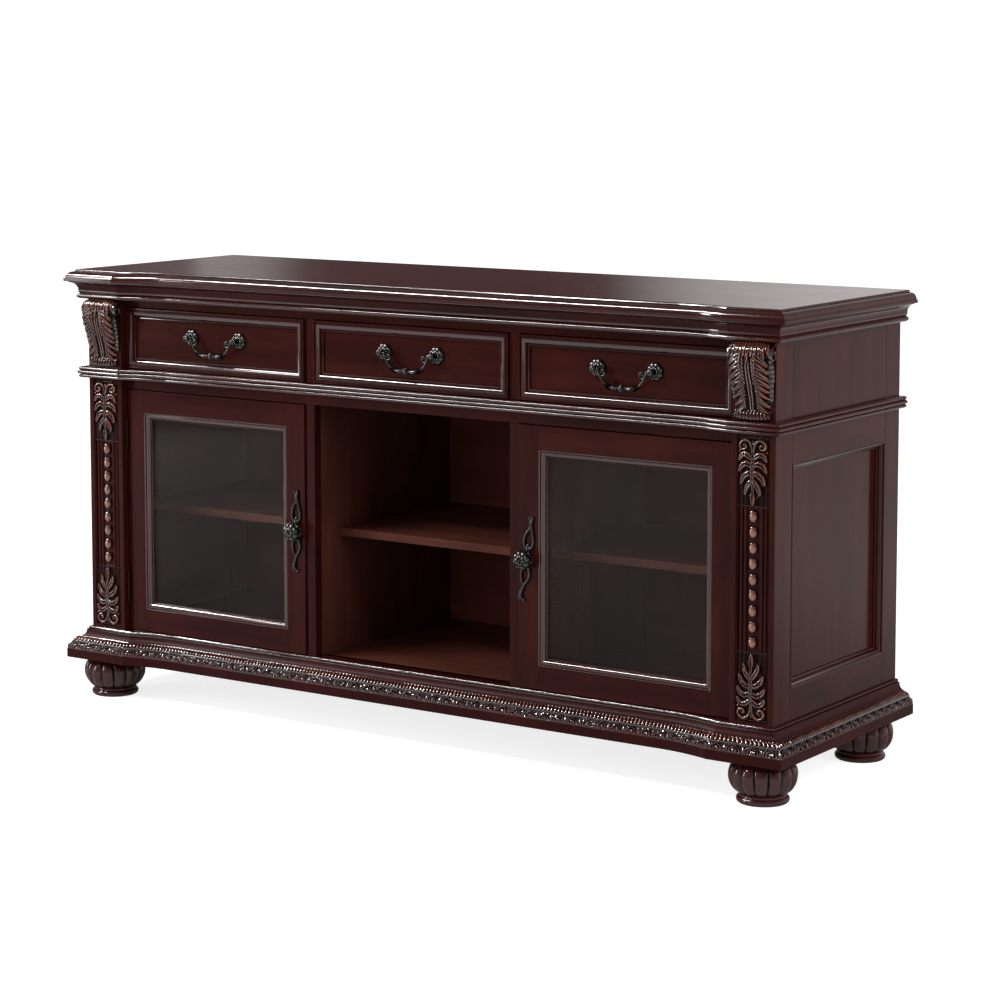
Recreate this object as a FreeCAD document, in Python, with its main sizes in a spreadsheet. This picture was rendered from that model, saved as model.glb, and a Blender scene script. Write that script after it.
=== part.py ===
import FreeCAD
import Part
import Sketcher
import math
import os
from FreeCAD import Rotation, Vector

# Media cabinet with carved posts, three drawers, two glazed doors and an open middle bay.
# Millimetres. +X to the viewer's right, -Y to the front, +Z up, origin under the middle of the box.

doc = FreeCAD.newDocument("MediaCabinet")

SIZES = {
    # carcass
    "body_width": 1600,
    "body_depth": 483,
    "front_recess": 19,
    "door_bay_height": 498.5,
    "waist_rail_height": 42.5,
    "drawer_bay_height": 125,
    "frieze_height": 15,
    "post_width": 88,
    "post_depth": 30,
    "bay_width": 459,
    "stile_width": 21,
    "frame_thickness": 20,
    "side_thickness": 22,
    "floor_thickness": 18,
    "deck_thickness": 16,
    "back_thickness": 6,
    "cable_hole_radius": 25,
    # side frames and their panels
    "side_front_stile": 32.5,
    "side_rear_stile": 58.5,
    "side_bottom_rail": 59,
    "side_middle_rail": 81,
    "panel_recess": 15,
    "panel_moulding_width": 12,
    "panel_moulding_slope": 10,
    "upper_panel_thickness": 18,
    # base moulding, from the floor upwards
    "base_reach": 38,
    "base_fascia": 19.5,
    "base_ovolo": 23.5,
    "base_ovolo_reach": 18,
    "base_cove": 15,
    "base_cove_reach": 9,
    "base_fillet": 6,
    "base_fillet_reach": 4,
    "base_block_extra": 20,
    "base_rail_thickness": 22,
    "foot_block": 110,
    # waist moulding: three reeds
    "reed_height": 7.5,
    "waist_reach": 17,
    "waist_edge_reach": 12,
    # crown moulding and edge of the top
    "crown_bead": 11,
    "crown_neck_reach": 14,
    "crown_cove": 25,
    "crown_soffit_reach": 28,
    "top_fillet": 6,
    "top_reach": 35,
    "top_ovolo": 13.5,
    "top_shoulder_reach": 18,
    "top_round": 4.5,
    "top_edge_reach": 14,
    "breakfront_run": 118,
    "moulding_seat": 60,
    # bun feet
    "foot_height": 79,
    "foot_inset": 34,
    "foot_front_inset": 28.5,
    "foot_back_inset": 76.5,
    "foot_pad_radius": 45,
    "foot_pad_height": 19,
    "foot_neck_radius": 41,
    "foot_top_radius": 47,
    "foot_flute_radius": 4.5,
    # carved posts
    "field_border": 12,
    "field_end": 5,
    "field_depth": 6,
    "carving_relief": 9,
    "upper_leaf_length": 130,
    "lower_leaf_length": 132,
    "leaf_end": 8,
    "leaf_margin": 6,
    "leaf_tip_half": 3,
    "bead_pitch": 28.1,
    "bead_width": 16,
    "bead_length": 20,
    "bead_relief": 11,
    "corbel_end": 2,
    "corbel_margin": 5,
    "corbel_foot_half": 24,
    "corbel_toe": 6,
    "corbel_toe_height": 22,
    "corbel_projection": 27,
    "corbel_shoulder_height": 44,
    "corbel_top": 16,
    # shelves
    "shelf_rise": 247,
    "shelf_thickness": 16,
    "middle_shelf_setback": 54,
    "side_shelf_setback": 89,
    "shelf_gap": 1,
    "pin_radius": 2.5,
    "pin_stub": 4,
    "pin_reach": 9,
    "pin_inset": 25,
    "pin_back_inset": 75,
    # drawers
    "drawer_gap": 1.5,
    "drawer_proud": 6,
    "drawer_front_thickness": 20,
    "drawer_frame_width": 22,
    "drawer_panel_recess": 10,
    "drawer_box_depth": 360,
    "drawer_side_thickness": 12,
    "drawer_side_inset": 4,
    "drawer_side_drop": 12,
    "drawer_bottom_thickness": 6,
    "drawer_bottom_height": 14,
    "runner_width": 24,
    "runner_height": 10,
    "runner_clearance": 0.5,
    "guide_width": 10,
    "guide_clearance": 1,
    "slide_clearance": 0.3,
    # bail pulls
    "bail_spacing": 122,
    "bail_lift": 8.5,
    "bail_rise": 3.5,
    "bail_play": 0.8,
    "bail_drop": 33,
    "bail_rod_radius": 3.2,
    "bail_corner": 25,
    "bail_knop": 7.5,
    "bail_standoff": 15.5,
    "bail_pin_radius": 2.5,
    "pin_clearance": 0.05,
    "rosette_radius": 19,
    "rosette_rim": 12,
    "rosette_height": 5,
    "pull_post_radius": 6,
    "pull_post_end": 6,
    # doors
    "door_gap": 1.5,
    "door_hinge_gap": 2,
    "door_proud": 4.5,
    "door_thickness": 20,
    "door_member": 45,
    "glass_stop": 12,
    "glass_stop_lip": 3,
    "glass_stop_setback": 1,
    "glass_recess": 10,
    "glass_thickness": 4,
    "pull_inset": 20,
    "pull_rise": 246,
    "pull_length": 170,
    "pull_plate_thickness": 3,
    "pull_plate_half": 13,
    "pull_waist_half": 5,
    "pull_scroll_half": 11,
    "pull_piercing": 5.5,
    "knob_radius": 18,
    "knob_depth": 7,
    "knob_stem_radius": 6,
    "knob_stem": 20,
    # butt hinges and catches
    "hinge_height": 63,
    "hinge_inset": 58,
    "knuckle_radius": 3.3,
    "knuckle_gap": 0.3,
    "hinge_pin_radius": 1.6,
    "hinge_offset": 3.5,
    "hinge_stand": 4,
    "leaf_thickness": 1.5,
    "leaf_start": 3.8,
    "leaf_width": 22,
    "catch_inset": 12,
    "catch_width": 40,
    "catch_depth": 20,
    "catch_drop": 14,
    "catch_gap": 0.3,
}

# Arcs are given by their rise as a share of their chord.
QUARTER_ROUND = (1 - math.cos(math.pi / 4)) / (2 * math.sin(math.pi / 4))
BEAD_ROUND = 0.3
FOOT_SWELL = 0.32
FOOT_PAD_ROUND = 0.3
REED_ROUND = 0.2
LEAF_SCALLOP = 0.2
CORBEL_CURL = 0.35
CORBEL_HOLLOW = 0.1
CORBEL_SHOULDER = 0.28
PULL_ROUND = 0.35
PULL_HOLLOW = 0.1
PULL_TILT = 7
FOOT_FLUTES = 14
FLUTE_SPAN = 4 * math.degrees(math.atan(2 * FOOT_SWELL)) - 6
BEADS = 9
LEAF_LOBES = 4
CORBEL_LOBES = 5


class Length:
    """A size with its value and the sheet expression that it comes from."""

    def __init__(self, value, text):
        self.value = value
        self.text = text

    @staticmethod
    def of(other):
        return other if isinstance(other, Length) else Length(float(other), repr(float(other)))

    def join(self, other, sign, value):
        return Length(value, f"({self.text} {sign} {other.text})")

    def __add__(self, other):
        other = Length.of(other)
        return self.join(other, "+", self.value + other.value)

    def __sub__(self, other):
        other = Length.of(other)
        return self.join(other, "-", self.value - other.value)

    def __mul__(self, other):
        other = Length.of(other)
        return self.join(other, "*", self.value * other.value)

    def __truediv__(self, other):
        other = Length.of(other)
        return self.join(other, "/", self.value / other.value)

    def __radd__(self, other):
        return Length.of(other) + self

    def __rsub__(self, other):
        return Length.of(other) - self

    def __rmul__(self, other):
        return Length.of(other) * self

    def __neg__(self):
        return Length.of(0) - self

    def root(self):
        return Length(math.sqrt(self.value), f"sqrt({self.text})")


class Sizes:
    """The cells of the sheet as lengths, by their aliases."""

    def __init__(self, values):
        sheet = doc.addObject("Spreadsheet::Sheet", "Sizes")
        for row, (alias, value) in enumerate(values.items(), start=1):
            sheet.set(f"A{row}", alias)
            sheet.set(f"B{row}", str(value))
            sheet.setAlias(f"B{row}", alias)
            setattr(self, alias, Length(float(value), f"Sizes.{alias}"))


d = Sizes(SIZES)
doc.recompute()

# Heights
base_height = d.base_fascia + d.base_ovolo + d.base_cove + d.base_fillet
crown_height = d.crown_bead + d.crown_cove
top_thickness = d.top_fillet + d.top_ovolo + d.top_round
z_base = d.foot_height
z_floor = z_base + base_height
z_rail = z_floor + d.door_bay_height
z_deck = z_rail + d.waist_rail_height
z_waist = z_deck - 3 * d.reed_height
z_frieze = z_deck + d.drawer_bay_height
z_crown = z_frieze + d.frieze_height
z_top = z_crown + crown_height
z_all = z_top + top_thickness
z_under_floor = z_floor - d.floor_thickness
z_under_deck = z_deck - d.deck_thickness
z_shelf = z_floor + d.shelf_rise
z_under_shelf = z_shelf - d.shelf_thickness

# Widths, from the middle to the right
x_half = d.body_width / 2
x_side = x_half - d.side_thickness
x_post = x_half - d.post_width
x_post_mid = x_half - d.post_width / 2
x_bay = d.bay_width / 2
x_stile = x_bay + d.stile_width

# Depths, from the front to the back
y_back = (d.body_depth + d.base_reach) / 2
y_post = y_back - d.body_depth
y_post_back = y_post + d.post_depth
y_face = y_post + d.front_recess
y_inner = y_face + d.frame_thickness
y_panel = y_back - d.back_thickness
y_field = y_post + d.field_depth
y_drawer = y_face - d.drawer_proud
y_drawer_back = y_drawer + d.drawer_front_thickness
y_door = y_face - d.door_proud
y_door_back = y_door + d.door_thickness


def bind(piece, **sizes):
    """Tie properties of a piece to the sheet; a double underscore stands for a dot."""
    for name, size in sizes.items():
        piece.setExpression(name.replace("__", "."), Length.of(size).text)


def place(piece, x=0, y=0, z=0):
    bind(piece, Placement__Base__x=x, Placement__Base__y=y, Placement__Base__z=z)
    return piece


def box(name, x, y, z):
    """A board between two planes each way."""
    piece = doc.addObject("Part::Box", name)
    bind(piece, Length=x[1] - x[0], Width=y[1] - y[0], Height=z[1] - z[0])
    return place(piece, x[0], y[0], z[0])


def cylinder(name, radius, height, turn, x, y, z):
    """A round bar that starts at a point and runs along +Z, turned by a rotation."""
    piece = doc.addObject("Part::Cylinder", name)
    piece.Placement.Rotation = turn
    bind(piece, Radius=radius, Height=height)
    return place(piece, x, y, z)


UPRIGHT = Rotation()
ALONG_X = Rotation(Vector(0, 1, 0), 90)
TO_FRONT = Rotation(Vector(1, 0, 0), 90)


def cut(name, base, tool):
    piece = doc.addObject("Part::Cut", name)
    piece.Base = base
    piece.Tool = tool
    return piece


def fuse(name, shapes):
    piece = doc.addObject("Part::MultiFuse", name)
    piece.Shapes = shapes
    piece.Refine = True
    return piece


def group(name, solids):
    piece = doc.addObject("Part::Compound", name)
    piece.Links = solids
    return piece


def mirror(name, source):
    """The same piece on the other side of the middle."""
    piece = doc.addObject("Part::Mirroring", name)
    piece.Source = source
    piece.Normal = Vector(1, 0, 0)
    return piece


def arc_between(start, end, bulge):
    """Radius and drawn arc of a round stretch; a positive bulge lies to the right of travel."""
    du = end[0] - start[0]
    dv = end[1] - start[1]
    share = abs(bulge)
    radius = (du * du + dv * dv).root() * (1 / (8 * share) + share / 2)
    sign = math.copysign(1, bulge)
    lean = sign * (1 / (8 * share) - share / 2)
    centre = Vector(
        (start[0].value + end[0].value) / 2 - lean * dv.value,
        (start[1].value + end[1].value) / 2 + lean * du.value,
        0,
    )
    first, last = (start, end) if sign > 0 else (end, start)
    low = math.atan2(first[1].value - centre.y, first[0].value - centre.x)
    high = math.atan2(last[1].value - centre.y, last[0].value - centre.x)
    arc = Part.ArcOfCircle(Part.Circle(centre, Vector(0, 0, 1), radius.value), low, high)
    return radius, arc, sign > 0


def rule(sketch, *terms, size):
    """A dimension of a sketch, tied to the sheet."""
    index = sketch.addConstraint(Sketcher.Constraint(*terms, size.value))
    sketch.setExpression(f"Constraints[{index}]", size.text)


def pin(sketch, edge, end, spot):
    """Hold one end of an edge at its two distances from the sketch's origin."""
    rule(sketch, "DistanceX", -1, 1, edge, end, size=spot[0])
    rule(sketch, "DistanceY", -1, 1, edge, end, size=spot[1])


def draw(sketch, points, closed=True):
    """Lines and arcs through points (u, v), (u, v, bulge) or (u, v, bulge, radius).

    The bulge and radius belong to the stretch after the point. On a closed outline a positive
    bulge is convex."""
    spots = [(Length.of(point[0]), Length.of(point[1])) for point in points]
    bulges = [point[2] if len(point) > 2 else 0 for point in points]
    if closed:
        area = sum(
            here[0].value * there[1].value - there[0].value * here[1].value
            for here, there in zip(spots, spots[1:] + spots[:1])
        )
        bulges = [bulge * math.copysign(1, area) for bulge in bulges]
    count = len(spots) if closed else len(spots) - 1
    ends = []
    for index in range(count):
        start = spots[index]
        end = spots[(index + 1) % len(spots)]
        if bulges[index]:
            radius, arc, forward = arc_between(start, end, bulges[index])
            edge = sketch.addGeometry(arc)
            if len(points[index]) > 3:
                radius = points[index][3]
            rule(sketch, "Radius", edge, size=radius)
            ends.append((edge, 1, 2) if forward else (edge, 2, 1))
        else:
            low = Vector(start[0].value, start[1].value, 0)
            high = Vector(end[0].value, end[1].value, 0)
            ends.append((sketch.addGeometry(Part.LineSegment(low, high)), 1, 2))
    for index, (edge, first, last) in enumerate(ends):
        pin(sketch, edge, first, spots[index])
        if closed or index + 1 < count:
            after = ends[(index + 1) % count]
            sketch.addConstraint(Sketcher.Constraint("Coincident", edge, last, after[0], after[1]))
        else:
            pin(sketch, edge, last, spots[index + 1])


def draw_circle(sketch, u, v, radius):
    centre = Vector(u.value, v.value, 0)
    edge = sketch.addGeometry(Part.Circle(centre, Vector(0, 0, 1), radius.value))
    pin(sketch, edge, 3, (u, v))
    rule(sketch, "Radius", edge, size=radius)


def loose_sketch(name, turn):
    """A sketch outside any body, turned into its plane."""
    sketch = doc.addObject("Sketcher::SketchObject", name)
    sketch.Placement.Rotation = turn
    return sketch


def body_sketch(body, name, plane, offset):
    """A sketch on one of the body's own origin planes, moved along the plane's normal."""
    sketch = body.newObject("Sketcher::SketchObject", name)
    support = next(feature for feature in body.Origin.OriginFeatures if feature.Role == plane)
    sketch.AttachmentSupport = [(support, "")]
    sketch.MapMode = "FlatFace"
    bind(sketch, AttachmentOffset__Base__z=offset)
    return sketch


def pad(name, plane, points, start, length, piercings=()):
    """An outline on a plane, padded along the plane's normal; XZ pads run to the front."""
    body = doc.addObject("PartDesign::Body", name)
    sketch = body_sketch(body, f"{name}_outline", plane, start)
    draw(sketch, points)
    for u, v, radius in piercings:
        draw_circle(sketch, u, v, radius)
    feature = body.newObject("PartDesign::Pad", f"{name}_pad")
    feature.Profile = sketch
    bind(feature, Length=length)
    return body


def frustum(name, x, z, y, inset):
    """A block that tapers along Y, with its inset from the x and z limits at each end."""
    piece = doc.addObject("Part::Wedge", name)
    bind(piece, Ymin=y[0], Ymax=y[1])
    bind(piece, Xmin=x[0] + inset[0], Xmax=x[1] - inset[0])
    bind(piece, Zmin=z[0] + inset[0], Zmax=z[1] - inset[0])
    bind(piece, X2min=x[0] + inset[1], X2max=x[1] - inset[1])
    bind(piece, Z2min=z[0] + inset[1], Z2max=z[1] - inset[1])
    return piece


TO_SIDE = Rotation(Vector(0, 0, 1), -90)
ACROSS = Rotation(Vector(0, -1, 0), Vector(0, 0, 1), Vector(-1, 0, 0), "XYZ")


def half_moulding(name, profile, corner):
    """Right half of a moulding: along the face, out over the post in an arc, round to the back."""
    run = d.breakfront_run
    radius = (run * run + d.front_recess * d.front_recess) / (2 * d.front_recess)
    bulge = math.tan(math.atan2(d.front_recess.value, run.value) / 2) / 2
    path = loose_sketch(f"{name}_path", UPRIGHT)
    draw(
        path,
        [
            (0, y_face),
            (corner - run, y_face, -bulge, radius),
            (corner, y_post),
            (x_half, y_post),
            (x_half, y_back),
        ],
        closed=False,
    )
    section = loose_sketch(f"{name}_section", ACROSS)
    draw(section, profile)
    place(section, y=y_face)
    sweep = doc.addObject("Part::Sweep", f"{name}_half")
    sweep.Sections = [section]
    sweep.Spine = (path, ["Edge1", "Edge2", "Edge3", "Edge4"])
    sweep.Solid = True
    sweep.Transition = "Right corner"
    return sweep


def seated_moulding(name, profile, corner, core):
    """A whole moulding with the room for the carcass cut out of its back."""
    half = cut(f"{name}_right", half_moulding(name, profile, corner), core)
    return fuse(name, [half, mirror(f"{name}_left", half)])


def build_base():
    z_ovolo = z_base + d.base_fascia
    z_cove = z_ovolo + d.base_ovolo
    z_fillet = z_cove + d.base_cove
    profile = [
        (-d.moulding_seat, z_base),
        (d.base_reach, z_base),
        (d.base_reach, z_ovolo, QUARTER_ROUND),
        (d.base_ovolo_reach, z_cove, -QUARTER_ROUND),
        (d.base_cove_reach, z_fillet),
        (d.base_fillet_reach, z_fillet),
        (d.base_fillet_reach, z_floor),
        (-d.moulding_seat, z_floor),
    ]
    core = box("base_core", (Length.of(0), x_side), (y_inner, y_back), (z_base, z_floor))
    seated_moulding("base_moulding", profile, x_post - d.base_block_extra, core)
    box("cabinet_floor", (-x_side, x_side), (y_inner, y_panel), (z_under_floor, z_floor))
    y_rail = y_back - d.base_rail_thickness
    box("base_back_rail", (-x_side, x_side), (y_rail, y_back), (z_base, z_under_floor))
    spans = [(y_inner, y_inner + d.foot_block), (y_rail - d.foot_block, y_rail)]
    blocks = []
    for index, span in enumerate(spans):
        block = box(f"foot_block_{index}", (x_side - d.foot_block, x_side), span, (z_base, z_under_floor))
        blocks += [block, mirror(f"foot_block_{index}_left", block)]
    group("foot_blocks", blocks)


def build_foot(name, x, y):
    """A turned bun foot: a pad, then a ball with flutes between its lobes."""
    body = doc.addObject("PartDesign::Body", name)
    turned = body_sketch(body, f"{name}_profile", "XZ_Plane", 0)
    low = (d.foot_neck_radius, d.foot_pad_height)
    high = (d.foot_top_radius, d.foot_height)
    draw(
        turned,
        [
            (0, 0),
            (d.foot_pad_radius, 0, FOOT_PAD_ROUND),
            (d.foot_pad_radius, d.foot_pad_height),
            (*low, FOOT_SWELL),
            high,
            (0, d.foot_height),
        ],
    )
    ball = body.newObject("PartDesign::Revolution", f"{name}_turning")
    ball.Profile = turned
    ball.ReferenceAxis = (turned, ["V_Axis"])
    doc.recompute()
    rise = high[1] - low[1]
    spread = high[0] - low[0]
    lean = 1 / (8 * FOOT_SWELL) - FOOT_SWELL / 2
    centre_radius = (low[0] + high[0]) / 2 - rise * lean
    centre_height = (low[1] + high[1]) / 2 + spread * lean
    arc_radius = (rise * rise + spread * spread).root() * (1 / (8 * FOOT_SWELL) + FOOT_SWELL / 2)
    section = body_sketch(body, f"{name}_flute_section", "XY_Plane", centre_height)
    axis_half = d.foot_flute_radius
    line = Part.LineSegment(
        Vector(centre_radius.value, -axis_half.value, 0), Vector(centre_radius.value, axis_half.value, 0)
    )
    axis = section.addGeometry(line, True)
    pin(section, axis, 1, (centre_radius, -axis_half))
    pin(section, axis, 2, (centre_radius, axis_half))
    draw_circle(section, centre_radius + arc_radius, Length.of(0), d.foot_flute_radius)
    flute = body.newObject("PartDesign::Groove", f"{name}_flute")
    flute.Profile = section
    flute.ReferenceAxis = (section, ["Axis0"])
    flute.Midplane = True
    flute.Angle = FLUTE_SPAN
    flutes = body.newObject("PartDesign::PolarPattern", f"{name}_flutes")
    flutes.Originals = [flute]
    flutes.Axis = (turned, ["V_Axis"])
    flutes.Angle = 360
    flutes.Occurrences = FOOT_FLUTES
    body.Tip = flutes
    return place(body, x, y, 0)


def build_feet():
    x_foot = x_half - d.foot_inset
    rows = {"front": y_post + d.foot_front_inset, "back": y_back - d.foot_back_inset}
    for row, y_foot in rows.items():
        build_foot(f"foot_{row}_right", x_foot, y_foot)
        build_foot(f"foot_{row}_left", -x_foot, y_foot)


def scalloped(start, end, count, bulge):
    """Points of an edge cut into equal scallops, without its last point."""
    step = ((end[0] - start[0]) / count, (end[1] - start[1]) / count)
    return [(start[0] + step[0] * index, start[1] + step[1] * index, bulge) for index in range(count)]


def leaf_outline(x, root, tip, half_root, half_tip, count):
    """A leaf on its midrib, scalloped on both sides."""
    right = scalloped((x + half_root, root), (x + half_tip, tip), count, LEAF_SCALLOP)
    left = scalloped((x - half_tip, tip), (x - half_root, root), count, LEAF_SCALLOP)
    return [*right, (x + half_tip, tip), *left, (x - half_root, root)]


def build_posts():
    shaft = box("post_shaft", (x_post, x_half), (y_post, y_post_back), (z_floor, z_top))
    field_x = (x_post + d.field_border, x_half - d.field_border)
    field_z = (z_floor + d.field_end, z_waist - d.field_end)
    field = box("post_field", field_x, (y_post, y_field), field_z)
    mirror("left_post", cut("right_post", shaft, field))

    z_low = z_floor + d.leaf_end
    z_high = z_waist - d.leaf_end
    z_low_tip = z_low + d.lower_leaf_length
    z_high_tip = z_high - d.upper_leaf_length
    half_root = d.post_width / 2 - d.field_border - d.leaf_margin
    leaves = []
    for name, root, tip in (("upper_leaf", z_high, z_high_tip), ("lower_leaf", z_low, z_low_tip)):
        outline = leaf_outline(x_post_mid, root, tip, half_root, d.leaf_tip_half, LEAF_LOBES)
        leaves.append(pad(f"post_{name}", "XZ_Plane", outline, -y_field, d.carving_relief))
    beads = []
    z_first = (z_low_tip + z_high_tip) / 2 - d.bead_pitch * ((BEADS - 1) / 2)
    for index in range(BEADS):
        bead = doc.addObject("Part::Ellipsoid", f"post_bead_{index}")
        bead.Placement.Rotation = Rotation(Vector(0, 0, 1), 180)
        bead.Angle3 = 180
        bind(bead, Radius1=d.bead_length / 2, Radius2=d.bead_width / 2, Radius3=d.bead_relief)
        beads.append(place(bead, x_post_mid, y_field, z_first + d.bead_pitch * index))
    mirror("left_post_carving", group("right_post_carving", [*leaves, *beads]))

    low = z_deck + d.corbel_end
    shoulder = z_crown - d.corbel_shoulder_height
    scroll = [
        (y_post, low),
        (y_post - d.corbel_toe, low, CORBEL_CURL),
        (y_post - d.corbel_toe, low + d.corbel_toe_height, -CORBEL_HOLLOW),
        (y_post - d.corbel_projection, shoulder, CORBEL_SHOULDER),
        (y_post - d.corbel_top, z_crown),
        (y_post, z_crown),
    ]
    side = pad("corbel_scroll", "YZ_Plane", scroll, x_post, d.post_width)
    half_top = d.post_width / 2 - d.corbel_margin
    outline = leaf_outline(x_post_mid, low, z_crown, d.corbel_foot_half, half_top, CORBEL_LOBES)
    front = pad("corbel_leaf", "XZ_Plane", outline, -y_post, d.post_width)
    corbel = doc.addObject("Part::MultiCommon", "right_corbel")
    corbel.Shapes = [side, front]
    mirror("left_corbel", corbel)


def build_sides():
    y_front = y_post_back + d.side_front_stile
    y_rear = y_back - d.side_rear_stile
    z_panel = (z_floor + d.side_bottom_rail, z_deck - d.side_middle_rail)
    x = (x_side, x_half)
    stiles = [
        box("side_front_stile_board", x, (y_post_back, y_front), (z_floor, z_top)),
        box("side_rear_stile_board", x, (y_rear, y_back), (z_floor, z_top)),
    ]
    rails = [
        box("side_bottom_rail_board", x, (y_front, y_rear), (z_floor, z_panel[0])),
        box("side_middle_rail_board", x, (y_front, y_rear), (z_panel[1], z_deck)),
        box("side_top_rail_board", x, (y_front, y_rear), (z_crown, z_top)),
    ]
    mirror("left_side_frame", group("right_side_frame", [*stiles, *rails]))

    x_panel = x_half - d.panel_recess
    lower = box("side_lower_board", (x_side, x_panel), (y_front, y_rear), z_panel)
    holes = [
        pin_hole(f"panel_pin_hole_{index}", x_side, y)
        for index, y in enumerate(pin_rows(d.side_shelf_setback))
    ]
    lower_bored = cut("side_lower_panel", lower, fuse("panel_pin_holes", holes))
    x_upper = x_half - d.upper_panel_thickness
    upper = box("side_upper_panel", (x_upper, x_half), (y_front, y_rear), (z_deck, z_crown))
    mirror("left_side_panels", group("right_side_panels", [lower_bored, upper]))

    block = box("panel_moulding_block", (x_panel, x_half), (y_front, y_rear), z_panel)
    inset = (d.panel_moulding_width, d.panel_moulding_width - d.panel_moulding_slope)
    hollow = frustum("panel_moulding_hollow", (-y_rear, -y_front), z_panel, (x_panel, x_half), inset)
    hollow.Placement.Rotation = TO_SIDE
    mirror("left_panel_moulding", cut("right_panel_moulding", block, hollow))


def pin_rows(setback):
    """Depths of the front and back shelf pins."""
    return (y_inner + setback + d.pin_inset, y_panel - d.pin_back_inset)


z_pin = z_under_shelf - d.pin_radius


def build_carcass():
    y = (y_face, y_inner)
    box("waist_rail", (-x_post, x_post), y, (z_rail, z_deck))
    box("top_rail", (-x_post, x_post), y, (z_frieze, z_top))
    stiles = []
    for name, z in (("lower", (z_floor, z_rail)), ("upper", (z_deck, z_frieze))):
        stile = box(f"{name}_face_stile", (x_bay, x_stile), y, z)
        stiles += [stile, mirror(f"{name}_face_stile_left", stile)]
    group("face_stiles", stiles)
    box("drawer_deck", (-x_side, x_side), (y_inner, y_panel), (z_under_deck, z_deck))

    lower = box("divider_lower_board", (x_bay, x_stile), (y_inner, y_panel), (z_floor, z_under_deck))
    upper = box("divider_upper", (x_bay, x_stile), (y_inner, y_panel), (z_deck, z_top))
    holes = []
    for index, y_pin in enumerate(pin_rows(d.middle_shelf_setback)):
        holes.append(pin_hole(f"divider_bay_hole_{index}", x_bay, y_pin))
    for index, y_pin in enumerate(pin_rows(d.side_shelf_setback)):
        holes.append(pin_hole(f"divider_side_hole_{index}", x_stile - d.pin_stub, y_pin))
    bored = cut("divider_lower", lower, fuse("divider_pin_holes", holes))
    mirror("left_divider", group("right_divider", [bored, upper]))

    board = box("back_board", (-x_side, x_side), (y_panel, y_back), (z_under_floor, z_top))
    z_holes = ((z_floor + z_under_shelf) / 2, (z_shelf + z_under_deck) / 2)
    holes = [
        cylinder(f"cable_hole_{index}", d.cable_hole_radius, d.back_thickness, TO_FRONT, 0, y_back, z)
        for index, z in enumerate(z_holes)
    ]
    cut("back_panel", board, fuse("cable_holes", holes))


def pin_hole(name, x, y):
    return cylinder(name, d.pin_radius + d.pin_clearance, d.pin_stub, ALONG_X, x, y, z_pin)


def build_shelves():
    z = (z_under_shelf, z_shelf)
    x = (-x_bay + d.shelf_gap, x_bay - d.shelf_gap)
    box("middle_shelf", x, (y_inner + d.middle_shelf_setback, y_panel), z)
    x = (x_stile + d.shelf_gap, x_side - d.shelf_gap)
    mirror("left_shelf", box("right_shelf", x, (y_inner + d.side_shelf_setback, y_panel), z))

    length = d.pin_stub + d.pin_reach
    pins = []
    rows = [
        (x_bay - d.pin_reach, d.middle_shelf_setback),
        (x_stile - d.pin_stub, d.side_shelf_setback),
        (x_side - d.pin_reach, d.side_shelf_setback),
    ]
    for row, (x, setback) in enumerate(rows):
        for index, y in enumerate(pin_rows(setback)):
            stud = cylinder(f"shelf_pin_{row}_{index}", d.pin_radius, length, ALONG_X, x, y, z_pin)
            pins += [stud, mirror(f"shelf_pin_{row}_{index}_left", stud)]
    group("shelf_pins", pins)


def build_drawer(side, x):
    """A drawer between two planes: moulded front, box, bottom and a bail pull."""
    z = (z_deck + d.drawer_gap, z_frieze - d.drawer_gap)
    x_mid = (x[0] + x[1]) / 2
    y_recess = y_drawer + d.drawer_panel_recess
    blank = box(f"{side}_drawer_blank", x, (y_drawer, y_drawer_back), z)
    inset = (d.drawer_frame_width - d.drawer_panel_recess, d.drawer_frame_width)
    recess = frustum(f"{side}_drawer_recess", x, z, (y_drawer, y_recess), inset)
    front = cut(f"{side}_drawer_front", blank, recess)

    y = (y_drawer_back, y_drawer_back + d.drawer_box_depth)
    y_rear = y[1] - d.drawer_side_thickness
    z_box = (z_deck + d.slide_clearance, z[1] - d.drawer_side_drop)
    outer = (x[0] + d.drawer_side_inset, x[1] - d.drawer_side_inset)
    inner = (outer[0] + d.drawer_side_thickness, outer[1] - d.drawer_side_thickness)
    z_low = z_deck + d.drawer_bottom_height
    z_bottom = (z_low, z_low + d.drawer_bottom_thickness)
    reach = d.runner_width / 2 + d.runner_clearance
    z_guide = (z_deck + d.guide_clearance, z_bottom[0])
    boards = [
        box(f"{side}_drawer_side_a", (outer[0], inner[0]), y, z_box),
        box(f"{side}_drawer_side_b", (inner[1], outer[1]), y, z_box),
        box(f"{side}_drawer_back", inner, (y_rear, y[1]), (z_bottom[0], z_box[1])),
        box(f"{side}_guide_a", (x_mid - reach - d.guide_width, x_mid - reach), (y[0], y_rear), z_guide),
        box(f"{side}_guide_b", (x_mid + reach, x_mid + reach + d.guide_width), (y[0], y_rear), z_guide),
    ]
    case = group(f"{side}_drawer_box", boards)
    bottom = box(f"{side}_drawer_bottom", inner, (y[0], y_rear), z_bottom)

    z_bail = (z[0] + z[1]) / 2 + d.bail_lift
    posts = [
        build_pull_post(f"{side}_pull_post_{sign}", x_mid + d.bail_spacing * (sign / 2), y_recess, z_bail)
        for sign in (-1, 1)
    ]
    pulls = group(f"{side}_pull_posts", posts)
    bail = build_bail(f"{side}_bail", x_mid, y_recess - d.bail_standoff, z_bail)
    half = d.runner_width / 2
    z_runner = (z_deck, z_deck + d.runner_height)
    runner = box(f"{side}_runner", (x_mid - half, x_mid + half), (y_inner, y_panel), z_runner)
    return front, case, bottom, pulls, bail, runner


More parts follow.
